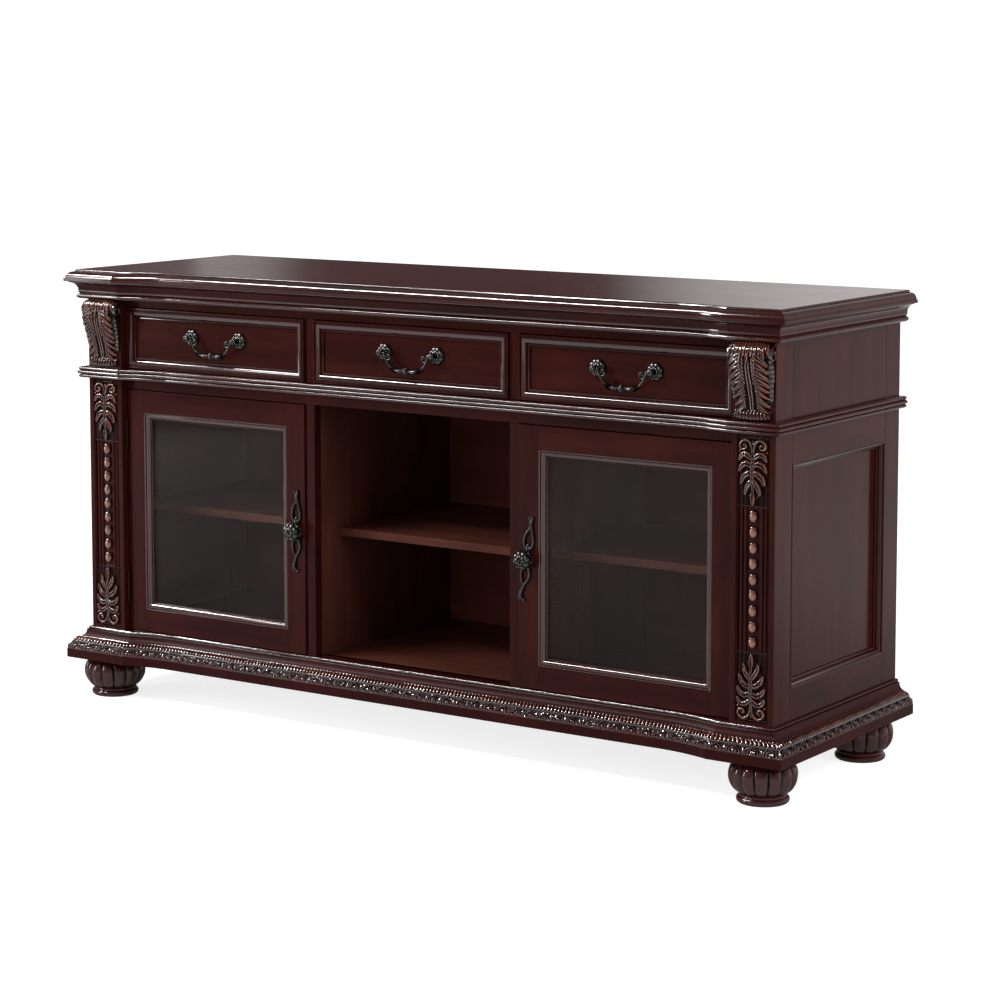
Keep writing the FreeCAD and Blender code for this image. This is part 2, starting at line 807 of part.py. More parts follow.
def build_pull_post(name, x, y, z):
    """A rosette with a post whose cross bore holds the end of the bail."""
    rosette = doc.addObject("Part::Cone", f"{name}_rosette")
    rosette.Placement.Rotation = TO_FRONT
    bind(rosette, Radius1=d.rosette_radius, Radius2=d.rosette_rim, Height=d.rosette_height)
    place(rosette, x, y, z)
    length = d.bail_standoff + d.pull_post_end
    shank = cylinder(f"{name}_shank", d.pull_post_radius, length, TO_FRONT, x, y, z)
    bore = cylinder(
        f"{name}_bore",
        d.bail_pin_radius + d.pin_clearance,
        d.pull_post_radius * 2,
        ALONG_X,
        x - d.pull_post_radius,
        y - d.bail_standoff,
        z,
    )
    return cut(name, fuse(f"{name}_blank", [rosette, shank]), bore)


def build_bail(name, x, y, z):
    """A hanging bail: a bent rod with a knop, and a pin at each end along the swing axis."""
    rod = d.bail_spacing / 2 - d.pull_post_radius - d.bail_rod_radius - d.bail_play
    bend = d.bail_drop - d.bail_corner
    path = loose_sketch(f"{name}_path", TO_FRONT)
    draw(
        path,
        [
            (-rod, d.bail_rise),
            (-rod, -bend, QUARTER_ROUND),
            (-rod + d.bail_corner, -d.bail_drop),
            (rod - d.bail_corner, -d.bail_drop, QUARTER_ROUND),
            (rod, -bend),
            (rod, d.bail_rise),
        ],
        closed=False,
    )
    section = loose_sketch(f"{name}_section", UPRIGHT)
    draw_circle(section, -rod, Length.of(0), d.bail_rod_radius)
    place(section, z=d.bail_rise)
    sweep = doc.addObject("Part::Sweep", f"{name}_rod")
    sweep.Sections = [section]
    sweep.Spine = (path, [f"Edge{index}" for index in range(1, 6)])
    sweep.Solid = True
    knop = doc.addObject("Part::Sphere", f"{name}_knop")
    knop.Placement.Rotation = TO_SIDE
    bind(knop, Radius=d.bail_knop)
    place(knop, z=-d.bail_drop)
    length = d.bail_spacing / 2 + d.pull_post_radius - rod
    pins = [
        cylinder(f"{name}_pin_a", d.bail_pin_radius, length, ALONG_X, rod, 0, 0),
        cylinder(f"{name}_pin_b", d.bail_pin_radius, length, ALONG_X, -rod - length, 0, 0),
    ]
    return place(fuse(name, [sweep, knop, *pins]), x, y, z)


def build_drawers():
    middle = build_drawer("middle", (-x_bay + d.drawer_gap, x_bay - d.drawer_gap))
    right = build_drawer("right", (x_stile + d.drawer_gap, x_post - d.door_hinge_gap))
    names = ("drawer_front", "drawer_box", "drawer_bottom", "pull_posts", "bail", "runner")
    for piece, name in zip(right, names):
        mirror(f"left_{name}", piece)
    group("drawer_runners", [middle[-1], right[-1], doc.getObject("left_runner")])


x_door = (x_stile + d.door_gap, x_post - d.door_hinge_gap)
z_door = (z_floor + d.door_gap, z_rail - d.door_gap)
x_hinge = x_post - d.hinge_offset
y_hinge = y_door - d.hinge_stand


def build_hinge(name, z):
    """Both leaves of a butt hinge at a height, and the mortise for the one on the door."""
    third = d.hinge_height / 3
    y_leaf = (y_hinge + d.leaf_start, y_hinge + d.leaf_width)
    z_leaf = (z, z + d.hinge_height)
    ends = [(z, z + third - d.knuckle_gap), (z + third * 2 + d.knuckle_gap, z + d.hinge_height)]
    x_leaf = (x_post - d.leaf_thickness, x_post)
    plates = [box(f"{name}_frame_plate", x_leaf, y_leaf, z_leaf)]
    plates.append(cylinder(f"{name}_pin", d.hinge_pin_radius, d.hinge_height, UPRIGHT, x_hinge, y_hinge, z))
    for index, end in enumerate(ends):
        plates.append(box(f"{name}_frame_tab_{index}", x_leaf, (y_hinge, y_leaf[0]), end))
        height = end[1] - end[0]
        title = f"{name}_knuckle_{index}"
        plates.append(cylinder(title, d.knuckle_radius, height, UPRIGHT, x_hinge, y_hinge, end[0]))
    fixed = fuse(f"{name}_frame_leaf", plates)

    middle = (z + third, z + third * 2)
    x_leaf = (x_door[1] - d.leaf_thickness, x_door[1])
    wall = d.hinge_pin_radius + d.pin_clearance
    parts = [
        box(f"{name}_door_plate", x_leaf, y_leaf, z_leaf),
        box(f"{name}_door_tab", x_leaf, (y_hinge, y_leaf[0]), middle),
        cylinder(f"{name}_door_knuckle", d.knuckle_radius, third, UPRIGHT, x_hinge, y_hinge, middle[0]),
    ]
    bore = cylinder(f"{name}_bore", wall, third, UPRIGHT, x_hinge, y_hinge, middle[0])
    moving = cut(f"{name}_door_leaf", fuse(f"{name}_door_leaf_blank", parts), bore)
    mortise = box(f"{name}_mortise", x_leaf, y_leaf, z_leaf)
    return fixed, moving, mortise


def build_pull(name, x, tilt):
    """A pierced drop plate with a round knob, turned on the knob's axis."""
    half = d.pull_length / 2
    scroll = half - d.pull_scroll_half * 2
    stations = [
        (0, -half, PULL_ROUND),
        (d.pull_scroll_half, -scroll, -PULL_HOLLOW),
        (d.pull_waist_half, -d.pull_plate_half * 2, PULL_HOLLOW),
        (d.pull_plate_half, 0, PULL_HOLLOW),
        (d.pull_waist_half, d.pull_plate_half * 2, -PULL_HOLLOW),
        (d.pull_scroll_half, scroll, PULL_ROUND),
    ]
    back = [(0, half, PULL_ROUND)]
    for index in range(len(stations) - 1, 0, -1):
        u, v, bulge = stations[index]
        back.append((-u, v, stations[index - 1][2]))
    holes = [(Length.of(0), v, d.pull_piercing) for v in (-scroll, Length.of(0) + scroll)]
    plate = pad(f"{name}_plate", "XZ_Plane", [*stations, *back], 0, d.pull_plate_thickness, holes)
    stem = cylinder(f"{name}_stem", d.knob_stem_radius, d.knob_stem, TO_FRONT, 0, 0, 0)
    knob = doc.addObject("Part::Ellipsoid", f"{name}_knob")
    bind(knob, Radius1=d.knob_radius, Radius2=d.knob_radius, Radius3=d.knob_depth)
    place(knob, y=-d.knob_stem)
    pull = fuse(name, [plate, stem, knob])
    pull.Placement.Rotation = Rotation(Vector(0, 1, 0), tilt)
    return place(pull, x, y_door, z_floor + d.pull_rise)


def build_doors():
    z_upper = z_door[1] - d.hinge_inset - d.hinge_height
    hinges = [build_hinge("lower_hinge", z_door[0] + d.hinge_inset), build_hinge("upper_hinge", z_upper)]
    y = (y_door, y_door_back)
    x_open = (x_door[0] + d.door_member, x_door[1] - d.door_member)
    z_open = (z_door[0] + d.door_member, z_door[1] - d.door_member)
    stile = box("door_hinge_stile_board", (x_open[1], x_door[1]), y, z_door)
    members = [
        cut("door_hinge_stile", stile, fuse("door_mortises", [hinge[2] for hinge in hinges])),
        box("door_lock_stile", (x_door[0], x_open[0]), y, z_door),
        box("door_bottom_rail", x_open, y, (z_door[0], z_open[0])),
        box("door_top_rail", x_open, y, (z_open[1], z_door[1])),
    ]
    y_stop = (y_door + d.glass_stop_setback, y_door + d.glass_recess)
    block = box("glass_stop_block", x_open, y_stop, z_open)
    hollow = frustum("glass_stop_hollow", x_open, z_open, y_stop, (d.glass_stop_lip, d.glass_stop))
    frame = group("right_door_frame", [*members, cut("glass_stop", block, hollow)])
    mirror("left_door_frame", frame)
    y_glass = (y_stop[1], y_stop[1] + d.glass_thickness)
    mirror("left_door_glass", box("right_door_glass", x_open, y_glass, z_open))
    mirror("left_door_hinge_leaves", group("right_door_hinge_leaves", [hinge[1] for hinge in hinges]))
    leaves = []
    for hinge in hinges:
        leaves += [hinge[0], mirror(f"{hinge[0].Name}_left", hinge[0])]
    group("hinge_frame_leaves", leaves)
    build_pull("left_door_pull", -x_door[0] - d.pull_inset, 0)
    build_pull("right_door_pull", x_door[0] + d.pull_inset, PULL_TILT)

    x = (x_door[0] + d.catch_inset, x_door[0] + d.catch_inset + d.catch_width)
    y_catch = (y_door_back + d.catch_gap, y_door_back + d.catch_gap + d.catch_depth)
    nose = box("catch_nose", x, y_catch, (z_rail - d.catch_drop, z_rail))
    block = box("catch_block", x, (y_inner, y_catch[1]), (z_rail, z_under_deck))
    right = fuse("catch_right", [nose, block])
    group("door_catches", [right, mirror("catch_left", right)])


def build_top():
    rail = (z_floor, z_all)
    bays = box("moulding_bay_core", (Length.of(0), x_post), (y_face, y_back), rail)
    posts = box("moulding_post_core", (x_post, x_half), (y_post, y_back), rail)
    core = fuse("moulding_core", [bays, posts])
    z_reed = [z_waist + d.reed_height * index for index in range(3)]
    waist = [
        (-d.moulding_seat, z_waist),
        (d.waist_edge_reach, z_waist, REED_ROUND),
        (d.waist_reach, z_reed[1], REED_ROUND),
        (d.waist_reach, z_reed[2], REED_ROUND),
        (d.waist_edge_reach, z_deck),
        (-d.moulding_seat, z_deck),
    ]
    seated_moulding("waist_moulding", waist, x_post, core)
    z_cove = z_crown + d.crown_bead
    crown = [
        (-d.moulding_seat, z_crown),
        (d.crown_neck_reach, z_crown, BEAD_ROUND),
        (d.crown_neck_reach, z_cove, -QUARTER_ROUND),
        (d.crown_soffit_reach, z_top),
        (-d.moulding_seat, z_top),
    ]
    seated_moulding("crown_moulding", crown, x_post, core)
    z_ovolo = z_top + d.top_fillet
    z_round = z_ovolo + d.top_ovolo
    edge = [
        (-d.moulding_seat, z_top),
        (d.top_reach, z_top),
        (d.top_reach, z_ovolo, QUARTER_ROUND),
        (d.top_shoulder_reach, z_round, QUARTER_ROUND),
        (d.top_edge_reach, z_all),
        (-d.moulding_seat, z_all),
    ]
    half = half_moulding("top_edge", edge, x_post)
    overlap = d.moulding_seat / 2
    x = (-x_half + overlap, x_half - overlap)
    panel = box("top_panel", x, (y_face + overlap, y_back), (z_top, z_all))
    fuse("top_board", [half, mirror("top_edge_left", half), panel])


NODES = [
    "top_board",
    "crown_moulding",
    "waist_moulding",
    "base_moulding",
    "base_back_rail",
    "cabinet_floor",
    "foot_blocks",
    "face_stiles",
    "top_rail",
    "waist_rail",
    "drawer_deck",
    "drawer_runners",
    "back_panel",
    "middle_shelf",
    "shelf_pins",
    "hinge_frame_leaves",
    "door_catches",
]
NODES += [f"foot_{row}_{side}" for row in ("front", "back") for side in ("left", "right")]
NODES += [
    f"{side}_{name}"
    for side in ("left", "right")
    for name in (
        "post",
        "post_carving",
        "corbel",
        "side_frame",
        "side_panels",
        "panel_moulding",
        "divider",
        "shelf",
        "door_frame",
        "door_glass",
        "door_hinge_leaves",
        "door_pull",
    )
]
NODES += [
    f"{side}_{name}"
    for side in ("left", "middle", "right")
    for name in ("drawer_front", "drawer_box", "drawer_bottom", "pull_posts", "bail")
]


def check_and_write():
    """Stop on any failed object, then write every sub-part under its label."""
    doc.recompute()
    for item in doc.Objects:
        if "Invalid" in item.State or "Error" in item.State:
            raise RuntimeError(f"{item.Name} failed: {item.State}")
    pieces = [doc.getObject(name) for name in NODES]
    for piece in pieces:
        piece.Label = piece.Name
        if piece.Shape.isNull() or not piece.Shape.isValid() or not piece.Shape.Solids:
            raise RuntimeError(f"{piece.Label} has no valid solid")
    os.makedirs("parts", exist_ok=True)
    for piece in pieces:
        piece.Shape.exportStep(f"parts/{piece.Label}.step")


build_base()
build_feet()
build_posts()
build_sides()
build_carcass()
build_shelves()
build_drawers()
build_doors()
build_top()
check_and_write()
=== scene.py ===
import math
import random

import bmesh
import bpy
import numpy as np
from bpy.props import FloatProperty, FloatVectorProperty, IntProperty, PointerProperty
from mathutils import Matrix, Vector


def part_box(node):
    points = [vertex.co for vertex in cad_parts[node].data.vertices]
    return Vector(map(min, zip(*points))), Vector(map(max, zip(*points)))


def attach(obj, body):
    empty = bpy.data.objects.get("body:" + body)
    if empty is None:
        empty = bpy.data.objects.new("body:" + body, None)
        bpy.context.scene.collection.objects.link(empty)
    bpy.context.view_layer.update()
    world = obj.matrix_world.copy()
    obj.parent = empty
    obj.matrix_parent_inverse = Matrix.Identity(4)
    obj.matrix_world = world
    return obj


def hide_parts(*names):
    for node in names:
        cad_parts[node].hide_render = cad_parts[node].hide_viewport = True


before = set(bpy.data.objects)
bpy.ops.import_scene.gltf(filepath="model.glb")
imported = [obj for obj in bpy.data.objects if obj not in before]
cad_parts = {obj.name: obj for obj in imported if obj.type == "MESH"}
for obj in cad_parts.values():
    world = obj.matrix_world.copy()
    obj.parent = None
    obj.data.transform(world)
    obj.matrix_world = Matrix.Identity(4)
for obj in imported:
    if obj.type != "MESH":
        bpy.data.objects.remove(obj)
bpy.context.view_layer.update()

bl_info = {
    "name": "Carved Media Cabinet",
    "version": (1, 0, 0),
    "blender": (4, 5, 0),
    "location": "View3D > Sidebar > Cabinet",
    "description": "Dresses the packed solids of a carved breakfront media cabinet",
    "category": "Object",
}

MM = 0.001
MEET = 0.01 * MM  # points nearer than this are one point
ARRIS = 32  # degrees between faces that meet in an edge
CABINET = "cabinet"
SIGN = {"left": -1, "right": 1}
SIDES = tuple(SIGN)
DRAWERS = ("left", "middle", "right")

# Planes of the carcass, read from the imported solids.
POST_LOW, POST_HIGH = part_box("right_post")
BASE_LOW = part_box("base_moulding")[0]
WAIST_LOW, WAIST_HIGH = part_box("waist_moulding")
CROWN_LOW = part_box("crown_moulding")[0]
TOP_LOW, TOP_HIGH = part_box("top_board")
HALF = POST_HIGH.x
Y_POST = POST_LOW.y
Y_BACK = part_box("back_panel")[1].y
POST_MID = (POST_LOW.x + POST_HIGH.x) / 2


class CabinetSizes(bpy.types.PropertyGroup):
    """Sizes of what the plain solids leave out."""

    edge_round: FloatProperty(
        name="Edge round", description="Width of the eased edge of a board", default=1.2 * MM, unit="LENGTH"
    )
    breakfront_run: FloatProperty(
        name="Breakfront run", description="Length of the hollow that leads out to a post", default=118 * MM,
        unit="LENGTH",
    )
    front_recess: FloatProperty(
        name="Front recess", description="How far the face lies behind the posts", default=19 * MM, unit="LENGTH"
    )
    block_extra: FloatProperty(
        name="Base block", description="How much wider the base blocks are than the posts", default=20 * MM,
        unit="LENGTH",
    )
    carving_pitch: FloatProperty(
        name="Carving pitch", description="Length of one motif of the base carving", default=31.5 * MM, unit="LENGTH"
    )
    foot_lobes: IntProperty(name="Foot lobes", description="Lobes round a bun foot", default=14)
    post_beads: IntProperty(name="Post beads", description="Beads between the leaves of a post", default=9)
    bead_pitch: FloatProperty(
        name="Bead pitch", description="Distance between two beads of a post", default=28.1 * MM, unit="LENGTH"
    )
    door_member: FloatProperty(
        name="Door member", description="Width of the stiles and rails of a door", default=45 * MM, unit="LENGTH"
    )
    glass_bevel: FloatProperty(
        name="Glass bevel", description="Width of the ground edge of the door glass", default=18 * MM, unit="LENGTH"
    )


class CabinetFinish(bpy.types.PropertyGroup):
    """Colours of the finishes."""

    cherry_dark: FloatVectorProperty(
        name="Cherry, dark", description="Late growth and pores under the lacquer", default=(0.0095, 0.0022, 0.002),
        subtype="COLOR",
    )
    cherry_light: FloatVectorProperty(
        name="Cherry, light", description="Early growth under the lacquer", default=(0.048, 0.007, 0.0056),
        subtype="COLOR",
    )
    # Darkest colour of the carving: glazing with painted shade, in its hollows, on its ground and on its hidden
    # walls.
    glaze: FloatVectorProperty(
        name="Glaze", description="Dark glaze left in the hollows of the carving", default=(0.0035, 0.0016, 0.0014),
        subtype="COLOR",
    )
    # Lightest colour of the carving: wear with painted highlight, on its highs.
    rubbed_and_highlight: FloatVectorProperty(
        name="Rubbed highs", description="Wood rubbed through on the highs of the carving",
        default=(0.3, 0.085, 0.024), subtype="COLOR",
    )
    inner: FloatVectorProperty(
        name="Inside", description="Stained boards inside the carcass", default=(0.1, 0.027, 0.02), subtype="COLOR"
    )
    drawer_wood: FloatVectorProperty(
        name="Drawer wood", description="Pale wood of the drawer boxes", default=(0.42, 0.27, 0.15), subtype="COLOR"
    )
    metal_dark: FloatVectorProperty(
        name="Metal, dark", description="Blackened hollows of the pulls", default=(0.008, 0.008, 0.008),
        subtype="COLOR",
    )
    metal_bright: FloatVectorProperty(
        name="Metal, bright", description="Worn highs of the pulls", default=(0.09, 0.088, 0.085), subtype="COLOR"
    )
    brass: FloatVectorProperty(
        name="Brass", description="Hinges", default=(0.035, 0.02, 0.012), subtype="COLOR"
    )


class CabinetStage(bpy.types.PropertyGroup):
    """Camera and light."""

    camera_place: FloatVectorProperty(
        name="Camera", description="Place of the camera", default=(3.1424, -4.5269, 1.3251), subtype="TRANSLATION",
        unit="LENGTH",
    )
    camera_turn: FloatProperty(
        name="Turn", description="Camera's turn to the left", default=math.radians(34.17), subtype="ANGLE"
    )
    camera_dip: FloatProperty(
        name="Dip", description="Camera's dip below level", default=math.radians(6.01), subtype="ANGLE"
    )
    lens: FloatProperty(name="Lens", description="Focal length in millimetres", default=101.83)
    shift: FloatProperty(name="Shift", description="Vertical shift of the lens", default=-0.15)
    key: FloatProperty(name="Key light", description="Brightness of the softbox ahead on the left", default=90.0)
    rim: FloatProperty(name="Rim light", description="Brightness of the tall softbox far on the left", default=20.0)
    fill: FloatProperty(name="Fill light", description="Brightness of the broad softbox ahead", default=2.6)
    side: FloatProperty(name="Side light", description="Brightness of the softbox on the right", default=6.3)
    walls: FloatProperty(name="Walls", description="Brightness of the pale walls ahead and at the sides", default=0.3)
    sky: FloatProperty(name="Sky", description="Brightness of the ceiling", default=0.2)


def sizes():
    return bpy.context.scene.cabinet_sizes


def colours():
    return bpy.context.scene.cabinet_finish


class Term:
    """The value of a socket, which takes part in sums as a number does."""

    def __init__(self, finish, socket):
        self.finish = finish
        self.socket = socket

    def join(self, operation, first, second):
        return self.finish.node("ShaderNodeMath", {"operation": operation}, first, second)

    def __add__(self, other):
        return self.join("ADD", self, other)

    def __radd__(self, other):
        return self.join("ADD", other, self)

    def __sub__(self, other):
        return self.join("SUBTRACT", self, other)

    def __rsub__(self, other):
        return self.join("SUBTRACT", other, self)

    def __mul__(self, other):
        return self.join("MULTIPLY", self, other)

    def __rmul__(self, other):
        return self.join("MULTIPLY", other, self)

    def __truediv__(self, other):
        return self.join("DIVIDE", self, other)

    def __rtruediv__(self, other):
        return self.join("DIVIDE", other, self)


class Nodes:
    """A node tree that is put together from nodes and terms."""

    def __init__(self, tree, output):
        self.tree = tree
        self.tree.nodes.clear()
        self.output = self.tree.nodes.new(output)

    def link(self, shader):
        self.tree.links.new(shader.socket, self.output.inputs["Surface"])

    def feed(self, socket, value):
        """Link a term to a socket, or set the socket's own value."""
        if isinstance(value, Term):
            self.tree.links.new(value.socket, socket)
        elif hasattr(value, "__len__") and len(value) == 3 and len(socket.default_value) == 4:
            socket.default_value = (*value, 1)
        else:
            socket.default_value = value

    def node(self, kind, settings=None, *values, out=0, **sockets):
        """Add a node with its settings, its first sockets in order, leaving out each None, and others by name."""
        made = self.tree.nodes.new(kind)
        for key, value in (settings or {}).items():
            if key == "stops":
                elements = made.color_ramp.elements
                while len(elements) < len(value):
                    elements.new(1)
                for element, (place, colour) in zip(elements, value):
                    element.position = place
                    element.color = (*colour, 1)
            else:
                setattr(made, key, value)
        for key, value in (*enumerate(values), *sockets.items()):
            if value is not None:
                self.feed(made.inputs[key], value)
        return Term(self, made.outputs[out])

    def kept(self, name, out="Fac"):
        """What a piece keeps for each of its points."""
        return self.node("ShaderNodeAttribute", {"attribute_name": name}, out=out)

    def place(self):
        return self.node("ShaderNodeTexCoord", out="Object")

    def noise(self, place, scale, detail=3.0, distortion=0.0):
        """Soft noise between 0 and 1; scale gives its waves per metre along each axis."""
        spread = self.node("ShaderNodeVectorMath", {"operation": "MULTIPLY"}, place, scale)
        return self.node("ShaderNodeTexNoise", None, Vector=spread, Scale=1.0, Detail=detail, Distortion=distortion)

    def mix(self, share, first, second):
        """A colour between two colours."""
        return self.node("ShaderNodeMix", {"data_type": "RGBA"}, share, *[None] * 5, first, second, out=2)

    def ramp(self, share, *stops):
        return self.node("ShaderNodeValToRGB", {"stops": stops}, share)

    def limit(self, value, low, high):
        """A value spread from one range to 0 to 1, and held there."""
        return self.node("ShaderNodeMapRange", {"clamp": True}, value, low, high, 0.0, 1.0)

    def bump(self, height, depth, strength=1.0):
        return self.node("ShaderNodeBump", None, Strength=strength, Distance=depth, Height=height)


class Finish(Nodes):
    """A material about one shader; values that are the same all over are set on its own sockets."""

    def __init__(self, name, **fixed):
        self.material = bpy.data.materials.new(name)
        self.material.use_nodes = True
        super().__init__(self.material.node_tree, "ShaderNodeOutputMaterial")
        shader = self.node("ShaderNodeBsdfPrincipled")
        self.shader = shader.socket.node
        self.link(shader)
        self.show(**fixed)

    def show(self, **sockets):
        for socket, value in sockets.items():
            self.feed(self.shader.inputs[socket.replace("_", " ")], value)
        return self.material


def wood_figure(finish, place):
    """Growth streaks, fine grain and soft clouds of a stained board, each between 0 and 1."""
    streaks = finish.noise(place, (1.6, 34, 34), 4, 0.35)
    grain = finish.noise(place, (9, 420, 420), 2)
    clouds = finish.noise(place, (5, 11, 11), 2, 0.6)
    return streaks, grain, clouds


def make_cherry(name, light=None, dark=None, roughness=0.09):
    """Stained and lacquered wood; boards differ a little, some redder and some browner.

    A piece may keep two values: polish, where its mouldings shine, and pale, where it is painted lighter as painted
    light, on the upward flat of the top and on the back of the bay."""
    colour = colours()
    finish = Finish(name, Specular_IOR_Level=0.085, Coat_Roughness=0.08, Coat_IOR=1.7)
    place = finish.kept("wood", "Vector")
    polish, pale = finish.kept("polish"), finish.kept("pale")
    streaks, grain, clouds = wood_figure(finish, place)
    light, dark = light or tuple(colour.cherry_light), dark or tuple(colour.cherry_dark)
    browner = (1.16 * light[0], 1.42 * light[1], 1.06 * light[2])
    hue = finish.limit(finish.noise(place, (0.9, 2.5, 2.5), 1), 0.4, 0.65)
    share = finish.limit(0.42 * streaks + 0.42 * clouds + 0.2 * grain, 0.26, 0.8)
    body = finish.mix(share, dark, finish.mix(hue, light, browner))
    # Painted light: a lighter copy of the stain, laid where a piece keeps pale.
    painted_light_paler = finish.mix(share, tuple(1.6 * part for part in dark), tuple(1.25 * part for part in light))
    return finish.show(
        Base_Color=finish.mix(pale, body, painted_light_paler),
        Roughness=roughness + 0.07 * clouds + 0.05 * grain,
        Coat_Weight=0.95 * polish,
        Normal=finish.bump(grain, 0.00006, 0.35),
    )


def make_carved(name):
    """Carved wood: darker in the hollows, from glazing with painted shade, lighter on the highs, from wear with
    painted highlight, and the ridges polished.
    """
    colour = colours()
    finish = Finish(name, Specular_IOR_Level=0.06, Coat_Roughness=0.07, Coat_IOR=2.2)
    place = finish.kept("wood", "Vector")
    relief, polish = finish.kept("relief"), finish.kept("polish")
    _, grain, clouds = wood_figure(finish, place)
    high = relief + 0.22 * (clouds - 0.5) + 0.12 * (grain - 0.5)
    # The ramp paints shade into the low relief and highlight onto the high relief, along with glazing and wear.
    body = finish.ramp(
        high,
        (0.1, tuple(colour.glaze)),
        (0.45, tuple(colour.cherry_dark)),
        (0.7, tuple(colour.cherry_light)),
        (1.0, tuple(colour.rubbed_and_highlight)),
    )
    return finish.show(
        Base_Color=body,
        Roughness=0.4 - 0.2 * polish + 0.05 * clouds,
        Coat_Weight=0.95 * polish,
        Normal=finish.bump(grain, 0.00008, 0.4),
    )


def make_board_wood(name, light, depth, roughness):
    """Wood of the boards inside; depth is how dark its late growth is beside its early growth."""
    return make_cherry(name, tuple(light), tuple(depth * part for part in light), roughness)


def make_metal(name):
    """Blackened cast metal, worn bright on its highs."""
    colour = colours()
    finish = Finish(name, Metallic=1.0)
    wear = finish.noise(finish.place(), (420, 420, 420), 3)
    high = finish.limit(finish.kept("relief") + 0.6 * (wear - 0.5), 0.3, 1.0)
    body = finish.mix(high, tuple(colour.metal_dark), tuple(colour.metal_bright))
    return finish.show(Base_Color=body, Roughness=0.42 - 0.2 * high, Normal=finish.bump(wear, 0.0001, 0.5))


def make_plain_metal(name, colour, roughness):
    """Drawn or rolled metal with faint streaks."""
    finish = Finish(name, Metallic=1.0)
    place = finish.place()
    streaks = finish.noise(place, (900, 900, 60), 2)
    clouds = finish.noise(place, (120, 120, 120), 3)
    body = finish.mix(clouds, tuple(0.6 * part for part in colour), tuple(colour))
    return finish.show(Base_Color=body, Roughness=roughness + 0.15 * streaks)


def make_plastic(name):
    finish = Finish(name)
    mottle = finish.noise(finish.place(), (1500, 1500, 1500), 2)
    body = finish.mix(mottle, (0.035, 0.022, 0.016), (0.055, 0.036, 0.026))
    return finish.show(Base_Color=body, Roughness=0.4 + 0.1 * mottle, Normal=finish.bump(mottle, 0.00005, 0.4))


def make_glass(name):
    """Clear glass: it lets the light through and mirrors a little of the room, its mirror tinted warm as a painted
    reflection of a warm room.
    """
    finish = Finish(name)
    waves = finish.noise(finish.place(), (7, 7, 7), 1)
    clear = finish.node("ShaderNodeBsdfTransparent", None, (0.96, 0.97, 0.965))
    # Painted reflection: the warm tint of the mirror stands in for a warm room reflected in the glass.
    gloss = finish.node("ShaderNodeBsdfGlossy", None, (1.0, 0.88, 0.84), 0.02)
    slant = finish.node("ShaderNodeLayerWeight", None, 0.5, out="Facing")
    mirrored = 0.009 + 0.005 * waves + 0.4 * slant * slant * slant * slant
    finish.link(finish.node("ShaderNodeMixShader", None, mirrored, clear, gloss))
    finish.tree.nodes.remove(finish.shader)
    return finish.material


MAKERS = {
    "cherry": make_cherry,
    "carved_cherry": make_carved,
    "inner_cherry": lambda name: make_board_wood(name, colours().inner, 0.35, 0.36),
    "drawer_wood": lambda name: make_board_wood(name, colours().drawer_wood, 0.62, 0.5),
    "antique_metal": make_metal,
    "hinge_brass": lambda name: make_plain_metal(name, colours().brass, 0.3),
    "pin_steel": lambda name: make_plain_metal(name, (0.62, 0.61, 0.6), 0.28),
    "catch_plastic": make_plastic,
    "glass": make_glass,
}


finishes = {}


def finish_of(name):
    """Make a finish once and use it again after that."""
    if name not in finishes:
        finishes[name] = MAKERS[name](name)
    return finishes[name]


def activate(piece):
    """Select one piece and nothing else."""
    bpy.ops.object.select_all(action="DESELECT")
    piece.select_set(True)
    bpy.context.view_layer.objects.active = piece


def edit(piece):
    activate(piece)
    bpy.ops.object.mode_set(mode="EDIT")


def leave():
    bpy.ops.object.mode_set(mode="OBJECT")


def weld(piece, gap=0.0):
    """Join points that meet within a gap, if there is one, and turn the faces outwards."""
    edit(piece)
    bpy.ops.mesh.select_all(action="SELECT")
    if gap:
        bpy.ops.mesh.remove_doubles(threshold=gap)
    bpy.ops.mesh.normals_make_consistent(inside=False)
    leave()


def pick(piece, kind, test):
    """In edit mode, select the faces or edges that pass a test."""
    bpy.ops.mesh.select_mode(type=kind)
    bpy.ops.mesh.select_all(action="DESELECT")
    shape = bmesh.from_edit_mesh(piece.data)
    for part in shape.faces if kind == "FACE" else shape.edges:
        part.select_set(bool(test(part)))
    shape.select_flush_mode()
    bmesh.update_edit_mesh(piece.data)


def is_arris(line):
    """True for an edge between two faces that meet at an angle."""
    return len(line.link_faces) == 2 and line.calc_face_angle(0) > math.radians(ARRIS)


def ease(piece, width):
    """Round the sharp edges of a piece."""
    edit(piece)
    pick(piece, "EDGE", is_arris)
    bpy.ops.mesh.bevel(offset=width, segments=2, profile=0.6, affect="EDGES", clamp_overlap=True)
    leave()


def block(name, low, high):
    """A squared board between two corners."""
    low, high = Vector(low), Vector(high)
    bpy.ops.object.select_all(action="DESELECT")
    bpy.ops.mesh.primitive_cube_add(size=1, location=(low + high) / 2, scale=high - low)
    bpy.ops.object.transform_apply(location=True, rotation=True, scale=True)
    piece = bpy.context.active_object
    piece.name = piece.data.name = name
    return piece


def eased_block(name, low, high, width=None):
    """A squared board with eased edges."""
    piece = block(name, low, high)
    ease(piece, width or sizes().edge_round)
    return piece


def from_points(name, points, faces):
    """A piece from its points and faces."""
    mesh = bpy.data.meshes.new(name)
    mesh.from_pydata([tuple(point) for point in points], [], faces)
    mesh.validate()
    piece = bpy.data.objects.new(name, mesh)
    bpy.context.scene.collection.objects.link(piece)
    return piece


def net(rows, columns, around=False, looped=False):
    """Faces between rows of points, which may close around themselves; looped joins the last row to the first."""
    faces = []
    for row in range(rows if looped else rows - 1):
        a, b = row * columns, (row + 1) % rows * columns
        for column in range(columns if around else columns - 1):
            after = (column + 1) % columns
            faces.append((a + column, a + after, b + after, b + column))
    return faces


